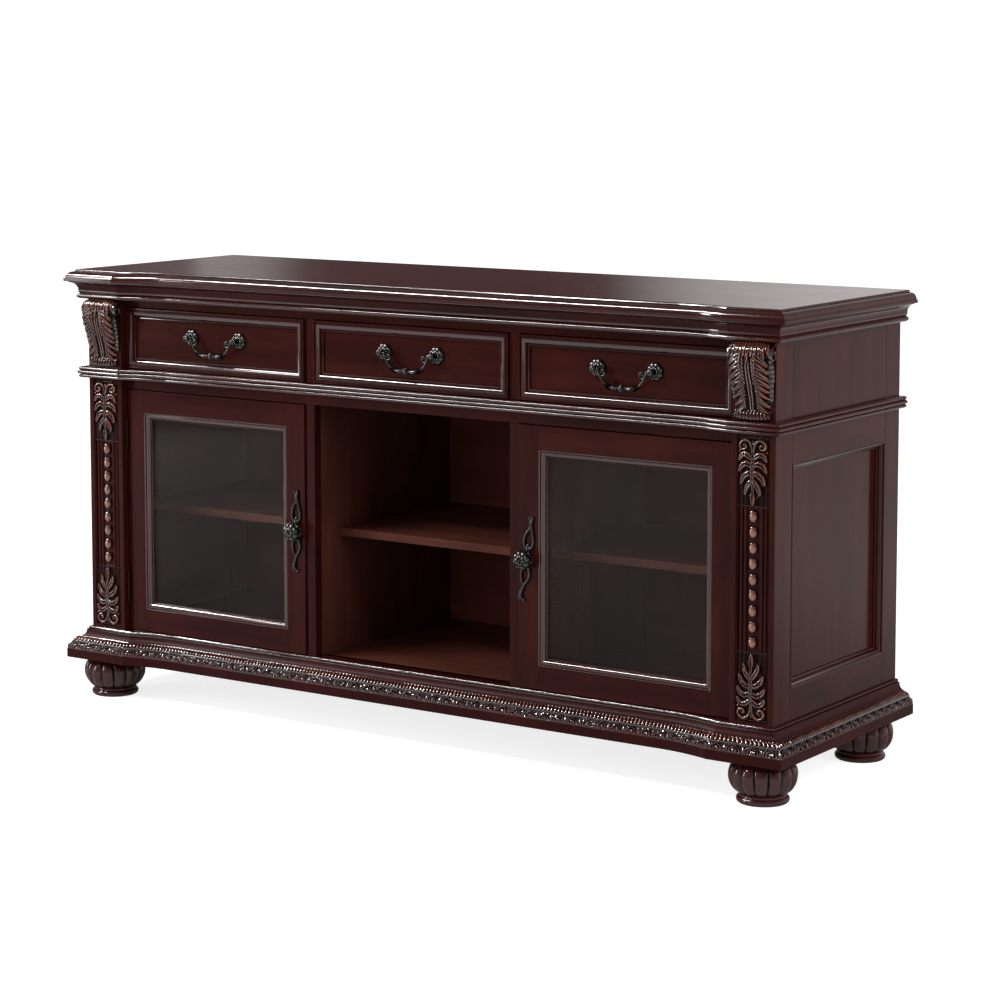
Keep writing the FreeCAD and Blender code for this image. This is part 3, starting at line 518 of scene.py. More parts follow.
def caps(rows, columns):
    """The first and last row of points as faces."""
    last = (rows - 1) * columns
    return [list(range(columns))[::-1], list(range(last, last + columns))]


def joined(name, pieces):
    """Several pieces made one."""
    activate(pieces[0])
    for piece in pieces[1:]:
        piece.select_set(True)
    bpy.ops.object.join()
    pieces[0].name = pieces[0].data.name = name
    return pieces[0]


def keep(piece, name, values):
    """Keep a number or a place for each point of a piece, for its finish to read."""
    mesh = piece.data
    values = np.asarray(values, np.float32).ravel()
    kind, field = ("FLOAT", "value") if len(values) == len(mesh.vertices) else ("FLOAT_VECTOR", "vector")
    if name in mesh.attributes:
        mesh.attributes.remove(mesh.attributes[name])
    mesh.attributes.new(name, kind, "POINT").data.foreach_set(field, values)


def places(piece):
    """Places of the points of a piece."""
    return np.array([tuple(vertex.co) for vertex in piece.data.vertices])


def noses(rows):
    """How far each row of a closed section bulges, from 0 where it is flat or hollow to 1."""
    rows = np.asarray(rows, float)
    before, after = rows - np.roll(rows, 1, 0), np.roll(rows, -1, 0) - rows
    turns = np.arctan2(before[:, 0] * after[:, 1] - before[:, 1] * after[:, 0], (before * after).sum(1))
    return np.clip(np.sign(turns.sum()) * turns / 0.15, 0, 1)


def ridges(piece):
    """How far each point of a carved piece bulges, from 0 to 1."""
    shape = bmesh.new()
    shape.from_mesh(piece.data)
    turns = np.array([sum(line.calc_face_angle_signed(0.0) for line in point.link_edges) for point in shape.verts])
    shape.free()
    return np.clip((turns - 0.4) / 0.6, 0, 1)


def islands(mesh):
    """Points of each separate board of a mesh."""
    shape = bmesh.new()
    shape.from_mesh(mesh)
    shape.verts.ensure_lookup_table()
    seen = [False] * len(shape.verts)
    found = []
    for start in shape.verts:
        if seen[start.index]:
            continue
        seen[start.index] = True
        heap, members = [start], []
        while heap:
            point = heap.pop()
            members.append(point.index)
            for line in point.link_edges:
                other = line.other_vert(point)
                if not seen[other.index]:
                    seen[other.index] = True
                    heap.append(other)
        found.append(members)
    shape.free()
    return found


def lay_grain(piece, along=None):
    """Run the grain along the length of each board, and start each one elsewhere in the tree."""
    points = places(piece)
    values = np.zeros_like(points)
    tree = random.Random(piece.name)
    for members in islands(piece.data):
        board = points[members]
        order = list(np.argsort(-(board.max(0) - board.min(0)), kind="stable"))
        if along is not None:
            order = [along] + [axis for axis in order if axis != along]
        start = np.array([tree.uniform(0, 40) for _ in range(3)])
        values[members] = board[:, order] + start
    keep(piece, "wood", values)


def deliver(piece, body, slot, nodes, finish=None, crisp=ARRIS):
    """Give a piece its finish and the body that it rides on, in place of plain solids.

    Edges of more than crisp degrees stay sharp. Broad faces stay flat next to their rounded edges, except on
    carved and cast pieces."""
    piece.data.materials.clear()
    piece.data.materials.append(finish_of(finish or slot))
    activate(piece)
    bpy.ops.object.shade_smooth_by_angle(angle=math.radians(crisp))
    if finish != "carved_cherry" and slot != "antique_metal":
        evened = piece.modifiers.new("even_shading", "WEIGHTED_NORMAL")
        evened.keep_sharp = True
        bpy.ops.object.modifier_apply(modifier=evened.name)
    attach(piece, body)
    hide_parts(*nodes)


def copy_of(node, name, tidy=True):
    """A piece of its own with the shape of a plain solid, its loose faces joined up and made whole."""
    piece = bpy.data.objects.new(name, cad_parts[node].data.copy())
    bpy.context.scene.collection.objects.link(piece)
    for attribute in list(piece.data.attributes):
        if attribute.name.startswith("custom_normal"):
            piece.data.attributes.remove(attribute)
    edit(piece)
    bpy.ops.mesh.select_all(action="SELECT")
    bpy.ops.mesh.remove_doubles(threshold=MEET)
    if tidy:
        bpy.ops.mesh.dissolve_limited(angle_limit=math.radians(0.5))
    leave()
    return piece


def arc_rows(start, end, bulge, count):
    """Rows (reach, height) of a round stretch of a section, without its first row.

    The bulge is the rise as a share of the chord; a positive one swells outwards."""
    start, end = np.array(start, float), np.array(end, float)
    chord = end - start
    length = np.hypot(*chord)
    out = np.array([chord[1], -chord[0]]) / length
    share = abs(bulge)
    radius = length * (1 / (8 * share) + share / 2)
    centre = (start + end) / 2 - math.copysign(1, bulge) * out * (radius - share * length)
    first = np.arctan2(*(start - centre)[::-1])
    last = np.arctan2(*(end - centre)[::-1])
    turn = (last - first + math.pi) % (2 * math.pi) - math.pi
    angles = first + turn * np.arange(1, count + 1) / count
    return [tuple(centre + radius * np.array([math.cos(a), math.sin(a)])) for a in angles]


QUARTER = (1 - math.cos(math.pi / 4)) / (2 * math.sin(math.pi / 4))


def breakfront(reach, corner, counts):
    """Plan points at a reach from the carcass, from the middle of the front to the right rear corner."""
    size = sizes()
    run, recess = size.breakfront_run, size.front_recess
    bend = (run**2 + recess**2) / (2 * recess)
    start = corner - run
    y_face = Y_POST + recess
    turn = math.acos((bend - recess - reach) / (bend - reach))
    front, hollow, ahead, side = (np.arange(count) / count for count in counts)
    angles = turn * hollow
    x_block = start + (bend - reach) * math.sin(turn)
    x_end = HALF + reach
    spans = [
        np.stack([start * front, np.full(counts[0], y_face - reach)], 1),
        np.stack([start + (bend - reach) * np.sin(angles), y_face - bend + (bend - reach) * np.cos(angles)], 1),
        np.stack([x_block + (x_end - x_block) * ahead, np.full(counts[2], Y_POST - reach)], 1),
        np.stack([np.full(counts[3], x_end), Y_POST - reach + (Y_BACK - Y_POST + reach) * side], 1),
        [[x_end, Y_BACK]],
    ]
    return np.concatenate(spans)


def both_halves(right):
    """The same plan points on both sides of the middle, from the left rear to the right rear."""
    left = right[:0:-1] * (-1, 1)
    return np.concatenate([left, right])


def distances(points):
    """How far along a line of points each of them is."""
    return np.concatenate([[0], np.cumsum(np.hypot(*np.diff(points, axis=0).T))])


def headings(points):
    """The way that a line of points runs at each of them."""
    way = np.gradient(points, axis=0)
    return way / np.maximum(np.linalg.norm(way, axis=1), 1e-9)[:, None]


class Moulding:
    """A section that runs round the front and sides of the cabinet, out over the posts."""

    def __init__(self, rows, corner, counts=(1, 10, 1, 1)):
        self.rows = np.array(rows, float)
        self.counts = counts
        self.plans = np.array([both_halves(breakfront(row[0], corner, counts)) for row in self.rows])
        shifted = [both_halves(breakfront(row[0] + MM, corner, counts)) for row in self.rows]
        self.outward = (np.array(shifted) - self.plans) / MM
        self.run = distances(self.plans[len(self.rows) // 2])
        self.girth = distances(self.rows)

    def points(self, rise=0.0):
        """Points row by row, moved out of the section by a rise."""
        way = headings(self.rows)
        normal = np.stack([way[:, 1], -way[:, 0]], 1)
        rise = np.broadcast_to(rise, self.plans.shape[:2])
        plan = self.plans + self.outward * (rise * normal[:, :1])[..., None]
        height = self.rows[:, 1:] + rise * normal[:, 1:]
        return np.concatenate([plan, height[..., None]], 2)

    def shine(self):
        """How far each point is rubbed up: the noses along the front, and less round the corners."""
        fade = np.clip((HALF - np.abs(self.plans[..., 0])) / (60 * MM), 0.12, 1)
        return noses(self.rows)[:, None] * fade

    def phases(self, pitch):
        """How far each column is through its motif; a whole number of motifs fills each stretch."""
        bounds = np.cumsum([0, *self.counts])
        right = self.run[len(self.run) // 2 :] - self.run[len(self.run) // 2]
        phase = np.zeros(len(right))
        for first, last in ((bounds[0], bounds[2]), (bounds[2], bounds[3]), (bounds[3], bounds[4])):
            share = (right[first : last + 1] - right[first]) / (right[last] - right[first])
            motifs = max(1, round((right[last] - right[first]) / pitch))
            phase[first : last + 1] = share * motifs
        return np.concatenate([-phase[:0:-1], phase])

    def faces(self, looped):
        rows, columns = self.plans.shape[:2]
        made = net(rows, columns, looped=looped)
        left, right = ([row * columns + end for row in range(rows)] for end in (0, columns - 1))
        if looped:
            return made + [left, right[::-1]]
        return made + caps(rows, columns) + [right + left[::-1]]

    def piece(self, name, looped=True, rise=0.0, relief=None, flat_grain=False):
        points = self.points(rise)
        piece = from_points(name, points.reshape(-1, 3), self.faces(looped))
        along, around = np.broadcast_arrays(self.run, self.girth[:, None])
        wood = np.stack([along, around, np.zeros_like(along)], 2) + len(name)
        keep(piece, "wood", points if flat_grain else wood)
        keep(piece, "polish", self.shine())
        if relief is not None:
            keep(piece, "relief", np.broadcast_to(relief, points.shape[:2]))
        self.crease(piece)
        weld(piece)
        return piece

    def crease(self, piece):
        """Keep the mitres crisp."""
        count = self.plans.shape[1]
        bounds = np.cumsum([0, *self.counts])
        mitres = {count // 2 + sign * bounds[place] for place in (2, 3) for sign in (-1, 1)}
        sharp = piece.data.attributes.new("sharp_edge", "BOOLEAN", "EDGE").data
        for line in piece.data.edges:
            a, b = line.vertices
            if a % count == b % count and a % count in mitres:
                sharp[line.index].value = True


def section(*stretches):
    """Rows in metres from points in millimetres.

    A third number bends the stretch that ends there, and a fourth gives its steps."""
    rows = [stretches[0][:2]]
    for reach, height, *bend in stretches[1:]:
        if bend:
            rows += arc_rows(rows[-1], (reach, height), bend[0], bend[1] if len(bend) > 1 else 8)
        else:
            rows.append((reach, height))
    return [(reach * MM, height * MM) for reach, height in rows]


def raised(rows, height):
    """A section lifted to a height."""
    return [(reach, z + height) for reach, z in rows]


def make_top():
    rows = raised(
        section(
            (-40, 0), (34.2, 0), (35, 0.8), (35, 5.2), (34.4, 6), (33.2, 6.2), (32.4, 7.2), (19.5, 19.4, QUARTER),
            (18.6, 19.6), (18, 20.2), (18, 21.2), (17.4, 22.4), (14.8, 23.8, 0.18), (13.6, 24),
        ),
        TOP_LOW.z,
    )
    moulding = Moulding(rows, POST_LOW.x)
    top = moulding.piece("cabinet_top", looped=False, flat_grain=True)
    flat = places(top)[:, 2] > TOP_HIGH.z - 0.05 * MM
    keep(top, "polish", moulding.shine().ravel() * ~flat)
    # Painted light: the upward flat of the top is painted lighter, as if lit from above.
    keep(top, "pale", flat)
    deliver(top, CABINET, "cherry", ["top_board"], crisp=24)


def make_crown():
    rows = raised(
        section(
            (-10, 0), (10.5, 0), (12.6, 0.6), (13.2, 1.4), (13.2, 9.6, 0.42), (11.4, 11), (12.6, 12.2),
            (14, 15.5), (27, 33.5, -QUARTER), (27.8, 34.2), (28, 36), (-10, 36),
        ),
        CROWN_LOW.z,
    )
    crown = Moulding(rows, POST_LOW.x).piece("cabinet_crown")
    deliver(crown, CABINET, "cherry", ["crown_moulding"], crisp=24)


def make_waist():
    reed = WAIST_HIGH.z - WAIST_LOW.z
    third = reed / 3 / MM
    rows = [(-10, 0), (11.2, 0), (12, 0.4)]
    for index, reach in enumerate((12, 14.2, 12)):
        low = index * third
        rows += [(reach, low + 0.5), (reach, low + third - 0.5, 0.46), (reach - 0.8, low + third)]
    rows += [(11, 3 * third), (-10, 3 * third)]
    waist = Moulding(raised(section(*rows), WAIST_LOW.z), POST_LOW.x).piece("cabinet_waist")
    deliver(waist, CABINET, "cherry", ["waist_moulding"], crisp=24)


def hump(value, centre, half):
    """A round hump of height 1 about a centre, 0 beyond its half width."""
    share = np.clip(np.abs((value - centre) / half), 0, 1)
    return np.sqrt(1 - share**2)


def base_carving(phase, share):
    """Relief of the base ovolo: eggs under arches below, a row of leaf ribs above; 0 is the ground."""
    through = phase % 1.0
    across = np.abs(through - 0.5)
    low = np.clip(share / 0.50, 0, 1)
    radius = np.hypot(across / 0.36, (low - 0.22) / 0.52)
    egg = 0.95 * np.sqrt(np.clip(1 - (radius / 0.5) ** 2, 0, 1)) * (0.6 + 0.4 * np.clip(across / 0.06, 0, 1))
    arches = np.maximum(0.85 * hump(radius, 0.76, 0.16), 0.7 * hump(radius, 1.14, 0.13))
    dart = 0.75 * hump(across, 0.5, 0.09) * hump(low, 0.3, 0.4)
    lower = np.maximum(np.maximum(egg, arches), dart)
    lower = np.where(share < 0.51, lower, 0)
    high = np.clip((share - 0.54) / 0.46, 0, 1)
    lean = phase * 4 + 0.35 * (high - 0.5)
    rib = hump(lean % 1.0, 0.5, 0.44) * hump(high, 0.5, 0.5) ** 0.6
    upper = np.where(share > 0.54, rib, 0)
    fillet = hump(share, 0.525, 0.03) * 0.55
    return np.maximum(np.maximum(lower, upper), fillet)


def make_base():
    size = sizes()
    fascia, ovolo, cove, reach = 19.5, 43.0, 58.0, 38
    below = section((-30, 0), (37, 0), (reach, 1), (reach, fascia - 1.4), (37.2, fascia - 0.4))
    band = section((37.2, fascia - 0.4), (18, ovolo, QUARTER * 0.92, 25))[1:]
    above = section((17.4, ovolo + 0.6), (16.4, ovolo + 0.8), (9, cove - 0.6, -0.16), (8.2, cove), (5, cove + 0.2))
    crest = section((4.4, cove + 0.6), (4.4, cove + 5.4, 0.42, 7), (3, cove + 6), (-30, cove + 6))
    rows = raised([*below, *band, *above, *crest], BASE_LOW.z)
    step = size.carving_pitch / 20
    corner = POST_LOW.x - size.block_extra
    run = size.breakfront_run
    lengths = (corner - run, run, HALF - corner + reach * MM, Y_BACK - Y_POST + reach * MM)
    counts = [round(length / step) for length in lengths]
    base = Moulding(rows, corner, counts)
    share = np.full(len(rows), -1.0)
    first = len(below)
    share[first : first + len(band)] = np.linspace(0, 1, len(band))
    carved = (share >= 0)[:, None]
    height = base_carving(base.phases(size.carving_pitch)[None, :], share[:, None])
    ease_ends = np.minimum(1, np.minimum(share, 1 - share) / 0.05)[:, None].clip(0, 1)
    rise = np.where(carved, (4.4 * height - 3.0) * MM * ease_ends, 0)
    # The carving is painted lighter on its highs and darker in its hollows: painted highlight and shade, along with
    # wear and glazing.
    relief = np.where(carved, 0.3 + 0.52 * height, 0.56)
    piece = base.piece("cabinet_base", rise=rise, relief=relief)
    plain = base.shine() * (np.arange(len(rows)) > first)[:, None]
    keep(piece, "polish", np.where(carved, np.minimum(1, 1.6 * ridges(piece).reshape(height.shape)), plain))
    deliver(piece, CABINET, "cherry", ["base_moulding"], "carved_cherry", crisp=30)


def make_foot(name, node):
    size = sizes()
    low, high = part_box(node)
    middle = (low + high) / 2
    pad = [
        (0, 0), (40, 0), (44.5, 0.8), (47, 3), (48, 6.5), (47.4, 9.6), (45.4, 12), (43.6, 12.8), (43, 13.8),
        (43.4, 15), (43, 16.6), (41.6, 17.6),
    ]
    swell = [
        (43.6, 18.2), (47.4, 20), (52.2, 24), (56.6, 29.5), (60, 36), (62.2, 43), (63, 50), (62.6, 56.5),
        (61, 62.5), (58, 68), (54.2, 72.4), (50, 75.8), (46.5, 79),
    ]
    columns = size.foot_lobes * 14
    turn = 2 * math.pi * np.arange(columns) / columns
    across = 2 * ((turn * size.foot_lobes / (2 * math.pi)) % 1) - 1
    round_lobe = 1 - np.sqrt(1 - 0.96 * across**2)
    rows, relief = [], []
    for index, (radius, z) in enumerate(pad + swell):
        depth = 0
        if index >= len(pad):
            share = (index - len(pad)) / (len(swell) - 1)
            depth = 7.2 * math.sin(math.pi * min(1, 0.10 + 0.88 * share)) ** 0.7
        reach = (radius - depth * round_lobe) * MM
        x, y = middle.x + reach * np.cos(turn), middle.y + reach * np.sin(turn)
        rows.append(np.stack([x, y, np.full(columns, z * MM)], 1))
        # Painted shade: each lobe is painted darker into the grooves between lobes, along with glazing.
        shade = 0.6 if depth == 0 else 0.64 - 0.55 * np.clip((np.abs(across) - 0.8) / 0.2, 0, 1)
        relief.append(np.broadcast_to(shade, columns))
    points = np.concatenate(rows)
    faces = net(len(rows), columns, around=True) + caps(len(rows), columns)[1:]
    piece = from_points(name, points, faces)
    keep(piece, "wood", points[:, [2, 0, 1]] + middle.x)
    keep(piece, "relief", np.concatenate(relief))
    weld(piece, MEET)
    keep(piece, "polish", np.full(len(piece.data.vertices), 0.28))
    deliver(piece, CABINET, "cherry", [node], "carved_cherry", crisp=50)


def smooth(points, count):
    """Points along a smooth curve through a few points."""
    points = np.array(points, float)
    ends = np.concatenate([[2 * points[0] - points[1]], points, [2 * points[-1] - points[-2]]])
    spots = np.linspace(0, len(points) - 1, count)
    made = []
    for spot in spots:
        index = min(int(spot), len(points) - 2)
        t = spot - index
        a, b, c, d = ends[index : index + 4]
        made.append(
            0.5 * (2 * b + (c - a) * t + (2 * a - 5 * b + 4 * c - d) * t**2 + (3 * b - a - 3 * c + d) * t**3)
        )
    return np.array(made)


# Section of a carved lobe: place across it, height, and how light its finish is painted, from painted shade at its
# edges to wear with painted highlight on its crests.
LOBE = ((-1, 0, 0), (-0.9, 0.6, 0.3), (-0.68, 1, 0.76), (-0.45, 0.78, 0.4), (0, 0.42, 0.5), (0.45, 0.78, 0.4),
        (0.68, 1, 0.76), (0.9, 0.6, 0.3), (1, 0, 0))
STRAND = ((-1, 0, 0.02), (-0.8, 0.6, 0.2), (-0.4, 0.92, 0.6), (0, 1, 0.74), (0.4, 0.92, 0.6), (0.8, 0.6, 0.2),
          (1, 0, 0.02))


class Carving:
    """Carved ornament, collected lobe by lobe on a ground.

    The ground is a function from (across, along, height) in millimetres to a place."""

    def __init__(self, ground):
        self.ground = ground
        self.points, self.faces, self.relief = [], [], []

    def add(self, points, faces, relief):
        start = len(self.points)
        self.points += [tuple(point) for point in points]
        self.faces += [[start + corner for corner in face] for face in faces]
        self.relief += list(relief)

    def lobe(self, path, half, rise, shape=LOBE, blunt=0.35, count=12, sink=0.5):
        """A lobe along a path, whose half width swells and tapers."""
        line = smooth(path, count)
        ahead = headings(line)
        across = np.stack([-ahead[:, 1], ahead[:, 0]], 1)
        share = np.linspace(0, 1, count)
        width = half * (np.sin(np.pi * np.clip(0.12 + 0.88 * share, 0, 1)) ** blunt).clip(0.04, None)
        height = rise * (0.55 + 0.45 * np.sin(np.pi * share * 0.9))
        points, relief = [], []
        for spot in range(count):
            for place, level, rubbed_and_highlight in shape:
                u, v = line[spot] + across[spot] * width[spot] * place
                points.append(self.ground(u, v, height[spot] * level - sink * (1 - level)))
                relief.append(rubbed_and_highlight)
        index = np.arange(len(points)).reshape(count, -1)
        under = np.concatenate([index[:, 0], index[-1, 1:], index[-2::-1, -1], index[0, -2:0:-1]]).tolist()
        self.add(points, net(*index.shape) + [under], relief)

    def piece(self, name):
        piece = from_points(name, self.points, self.faces)
        keep(piece, "relief", self.relief)
        keep(piece, "wood", np.array(self.points)[:, [2, 0, 1]])
        weld(piece)
        return piece


class Relief:
    """A carved field: a fine net whose heights come from strokes of the gouge, in millimetres.

    A leaf is cut in two layers, its broad form and its fingers, and then laid over what is there."""

    def __init__(self, length, width, step=0.7):
        self.along = np.linspace(0, length, round(length / step) + 1)
        widths = np.broadcast_to(width(self.along), self.along.shape)
        self.u = widths[:, None] * np.linspace(-1, 1, 2 * round(widths.max() / step) + 1)
        self.v = np.broadcast_to(self.along[:, None], self.u.shape)
        self.leaf = np.zeros((2, *self.u.shape))
        self.field = np.zeros(self.u.shape)

    def stroke(self, path, half, rise, layer=1, sides=(1, -1), hollow=0.0, tip=0.3, curl=0.0):
        """A stroke along a path; a hollow sinks its middle line below its edges, and a curl lifts its tip."""
        for side in sides:
            length = np.hypot(*np.diff(smooth(path, 12), axis=0).T).sum()
            count = max(8, round(length / 0.7))
            line, spots = smooth(path, count) * (side, 1), np.linspace(0, 1, count)
            reach = half * (tip + (1 - tip) * np.sin(np.pi * (0.15 + 0.85 * spots)) ** 0.6)
            near, spot_of = np.ones(self.u.shape), np.zeros(self.u.shape)
            for (u, v), wide, spot in zip(line, reach, spots):
                rows = slice(*np.searchsorted(self.along, (v - wide, v + wide)))
                gap = np.hypot(self.u[rows] - u, self.v[rows] - v) / wide
                closer = gap < near[rows]
                near[rows][closer] = gap[closer]
                spot_of[rows][closer] = spot
            face = np.sqrt(1 - near**2)
            if hollow:
                face *= 1 - hollow * np.clip(1 - near / 0.62, 0, 1) ** 1.2
            height = (rise * (0.5 + 0.5 * np.sin(np.pi * (0.1 + 0.75 * spot_of))) + curl * spot_of**2) * face
            self.leaf[layer] = np.maximum(self.leaf[layer], height)

    def settle(self):
        """Lay the leaf that has been cut over what is there, and begin another."""
        height = self.leaf.sum(0)
        self.field = np.maximum(self.field, np.where(height > 0.4, height, 0))
        self.leaf = np.zeros_like(self.leaf)

    def shades(self):
        """Painted shade darkens the hollows and the flat ground, and painted highlight lightens the ridges, along
        with glazing and wear.
        """
        level = self.field
        for _ in range(7):
            edge = np.pad(level, 1, "edge")
            level = (level + edge[:-2, 1:-1] + edge[2:, 1:-1] + edge[1:-1, :-2] + edge[1:-1, 2:]) / 5
        return 0.44 + 0.4 * np.clip((self.field - level) / 0.6, -1, 1) - 0.26 * (self.field < 0.3)

    def shell(self, front, behind):
        """Points, faces and shades of the field; front and behind turn (across, along, height) into places."""
        rows, columns = self.u.shape
        flat = np.stack([self.u, self.v, self.field], 2).reshape(-1, 3)
        index = np.arange(rows * columns).reshape(rows, columns)
        rim = np.concatenate([index[0], index[1:, -1], index[-1, -2::-1], index[-2:0:-1, 0]]).tolist()
        points = [front(*spot) for spot in flat.tolist()] + [behind(*spot) for spot in flat[rim].tolist()]
        faces = net(rows, columns)
        start, count = rows * columns, len(rim)
        for place in range(count):
            after = (place + 1) % count
            faces.append((rim[place], start + place, start + after, rim[after]))
        faces.append(list(range(start, start + count)))
        # Painted shade: the walls back to the ground are painted darkest.
        return points, faces, [*self.shades().ravel().tolist(), *[0.0] * count]


# Depth of the sunk field of a post, and the lowest and highest place of its beads, in millimetres.
FIELD_DEPTH = 6.0
BEAD_SPAN = (290, 515)


def make_post(side):
    """A post with a sunk field and reeds either side of its beads."""
    sign = SIGN[side]
    half = (POST_HIGH.x - POST_LOW.x) / 2 / MM
    depth = (POST_HIGH.y - POST_LOW.y) / MM
    front = [(-half, 1.2), (-half + 0.35, 0.35), (-half + 1.2, 0), (-33.4, 0), (-33, 0.9), (-32.4, 0.9)]
    for start, end in ((-32.2, -29.4), (-28.6, -20.6), (-20.0, -12.0)):
        middle, reach = (start + end) / 2, (end - start) / 2
        top = 0.2 if start < -30 else 2.2
        for step in range(9):
            share = step / 4 - 1
            front.append((middle + reach * share, top + (FIELD_DEPTH - top) * (1 - math.sqrt(max(0, 1 - share**2)))))
    front += [(-11.4, FIELD_DEPTH), (11.4, FIELD_DEPTH)]
    mirrored = [(-x, y) for x, y in front[-2::-1]]
    outline = front[:-1] + mirrored + [(half, depth), (-half, depth)]
    tall, waist = ((plane - POST_LOW.z) / MM for plane in (POST_HIGH.z, WAIST_LOW.z))
    levels = [(0, False), (4.2, False), (5.2, True), (waist - 4.2, True), (waist - 3.2, False), (tall, False)]
    points = []
    for z, sunk in levels:
        for x, y in outline:
            sink = y if sunk or abs(x) > half - 1.3 else min(y, 0)
            points.append((sign * POST_MID + x * MM, Y_POST + sink * MM, POST_LOW.z + z * MM))
    shape = len(levels), len(outline)
    piece = from_points(f"{side}_front_post", points, net(*shape, around=True) + caps(*shape))
    weld(piece, 0.002 * MM)
    lay_grain(piece, 2)
    deliver(piece, CABINET, "cherry", [f"{side}_post"])


def post_leaf(carving, root, down):
    """A leaf with two scrolls at its root and a bud at its tip; down is the way that it grows."""
    leaf = Relief(122, lambda v: 30.6, 0.66)
    leaf.stroke([(0, 24), (0, 62), (0, 104)], 19, 3.2, 0, (1,), tip=0.35)
    for path, half in (
        (((3, 36), (12, 30), (21, 31), (27, 40)), 5.6), (((3, 49), (12, 46), (21, 50), (27, 60)), 6.0),
        (((3, 62), (10, 64), (18, 70), (24, 82)), 6.0), (((2.5, 76), (7, 82), (12, 90), (15, 101)), 5.2),
    ):
        leaf.stroke(path, half, 6.8, hollow=0.36, tip=0.3, curl=2.0)
    leaf.settle()
    scroll = [(1.4, 36), (1.6, 21), (5, 10), (12, 4.6), (20, 5.6), (25.4, 12), (23, 19.5), (16.5, 20), (14, 15),
              (17.5, 11.8)]
    leaf.stroke(scroll, 2.9, 6.4, tip=0.75)
    leaf.stroke([(19.2, 13.6), (19.2, 14.8)], 3.5, 7.0, tip=1.0)
    leaf.stroke([(27, 24), (27, 25)], 2.8, 5.4, tip=1.0)
    leaf.stroke([(1.8, 26), (2.3, 60), (1.3, 102)], 2.0, 7.4, tip=0.5)
    leaf.stroke([(0, 28), (0, 17), (0, 6)], 4.2, 5.4, sides=(1,), hollow=0.4)
    leaf.stroke([(0, 94), (0, 106), (0, 119)], 5.6, 7.6, sides=(1,), hollow=0.3, tip=0.15)
    leaf.settle()

    def front(u, v, h):
        return carving.ground(u, root + down * v, 3.6 + h)

    def behind(u, v, h):
        return carving.ground(u, root + down * v, -2)

    carving.add(*leaf.shell(front, behind))


def bead(carving, z):
    """An acorn bead: a nut under a darker cup, each painted lighter across its front and darker at its sides, as
    painted highlight and shade with wear.
    """
    big = 1.1
    outline = [(0.0, -10.2), (2.6, -9.7), (5.0, -8.0), (6.9, -5.0), (7.8, -1.4), (7.8, 1.6), (7.2, 4.2), (6.0, 6.2),
               (6.8, 6.6), (7.0, 7.6), (6.0, 9.0), (3.6, 10.1), (0.0, 10.5)]
    spokes = 14
    points, relief = [], []
    for radius, level in outline:
        for spoke in range(spokes):
            turn = math.pi * spoke / (spokes - 1)
            across, height = big * radius * math.cos(turn), 1.2 + big * radius * math.sin(turn)
            points.append(carving.ground(across, z + big * level, height))
            # Painted highlight and shade: each ring is lighter across its front and darker at its sides.
            cup = level > 6.4
            relief.append(0.08 + 0.35 * math.sin(turn) if cup else 0.36 + 0.54 * math.sin(turn))
    index = np.arange(len(points)).reshape(-1, spokes)
    under = np.concatenate([index[:, 0], index[::-1, -1]]).tolist()
    carving.add(points, net(*index.shape) + [under], relief)


def make_post_carving(side):
    size = sizes()
    sign = SIGN[side]
    low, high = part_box(f"{side}_post_carving")
    y_ground = Y_POST + FIELD_DEPTH * MM

    def ground(u, v, h):
        return (sign * POST_MID + u * MM, y_ground - h * MM, v * MM)

    carving = Carving(ground)
    post_leaf(carving, high.z / MM + 1, -1)
    post_leaf(carving, low.z / MM - 1, 1)
    middle = sum(BEAD_SPAN) / 2
    for index in range(size.post_beads):
        bead(carving, middle + (index - (size.post_beads - 1) / 2) * size.bead_pitch / MM)
    piece = carving.piece(f"{side}_post_ornament")
    weld(piece, 0.001 * MM)
    keep(piece, "polish", ridges(piece))
    deliver(piece, CABINET, "cherry", [f"{side}_post_carving"], "carved_cherry", crisp=60)


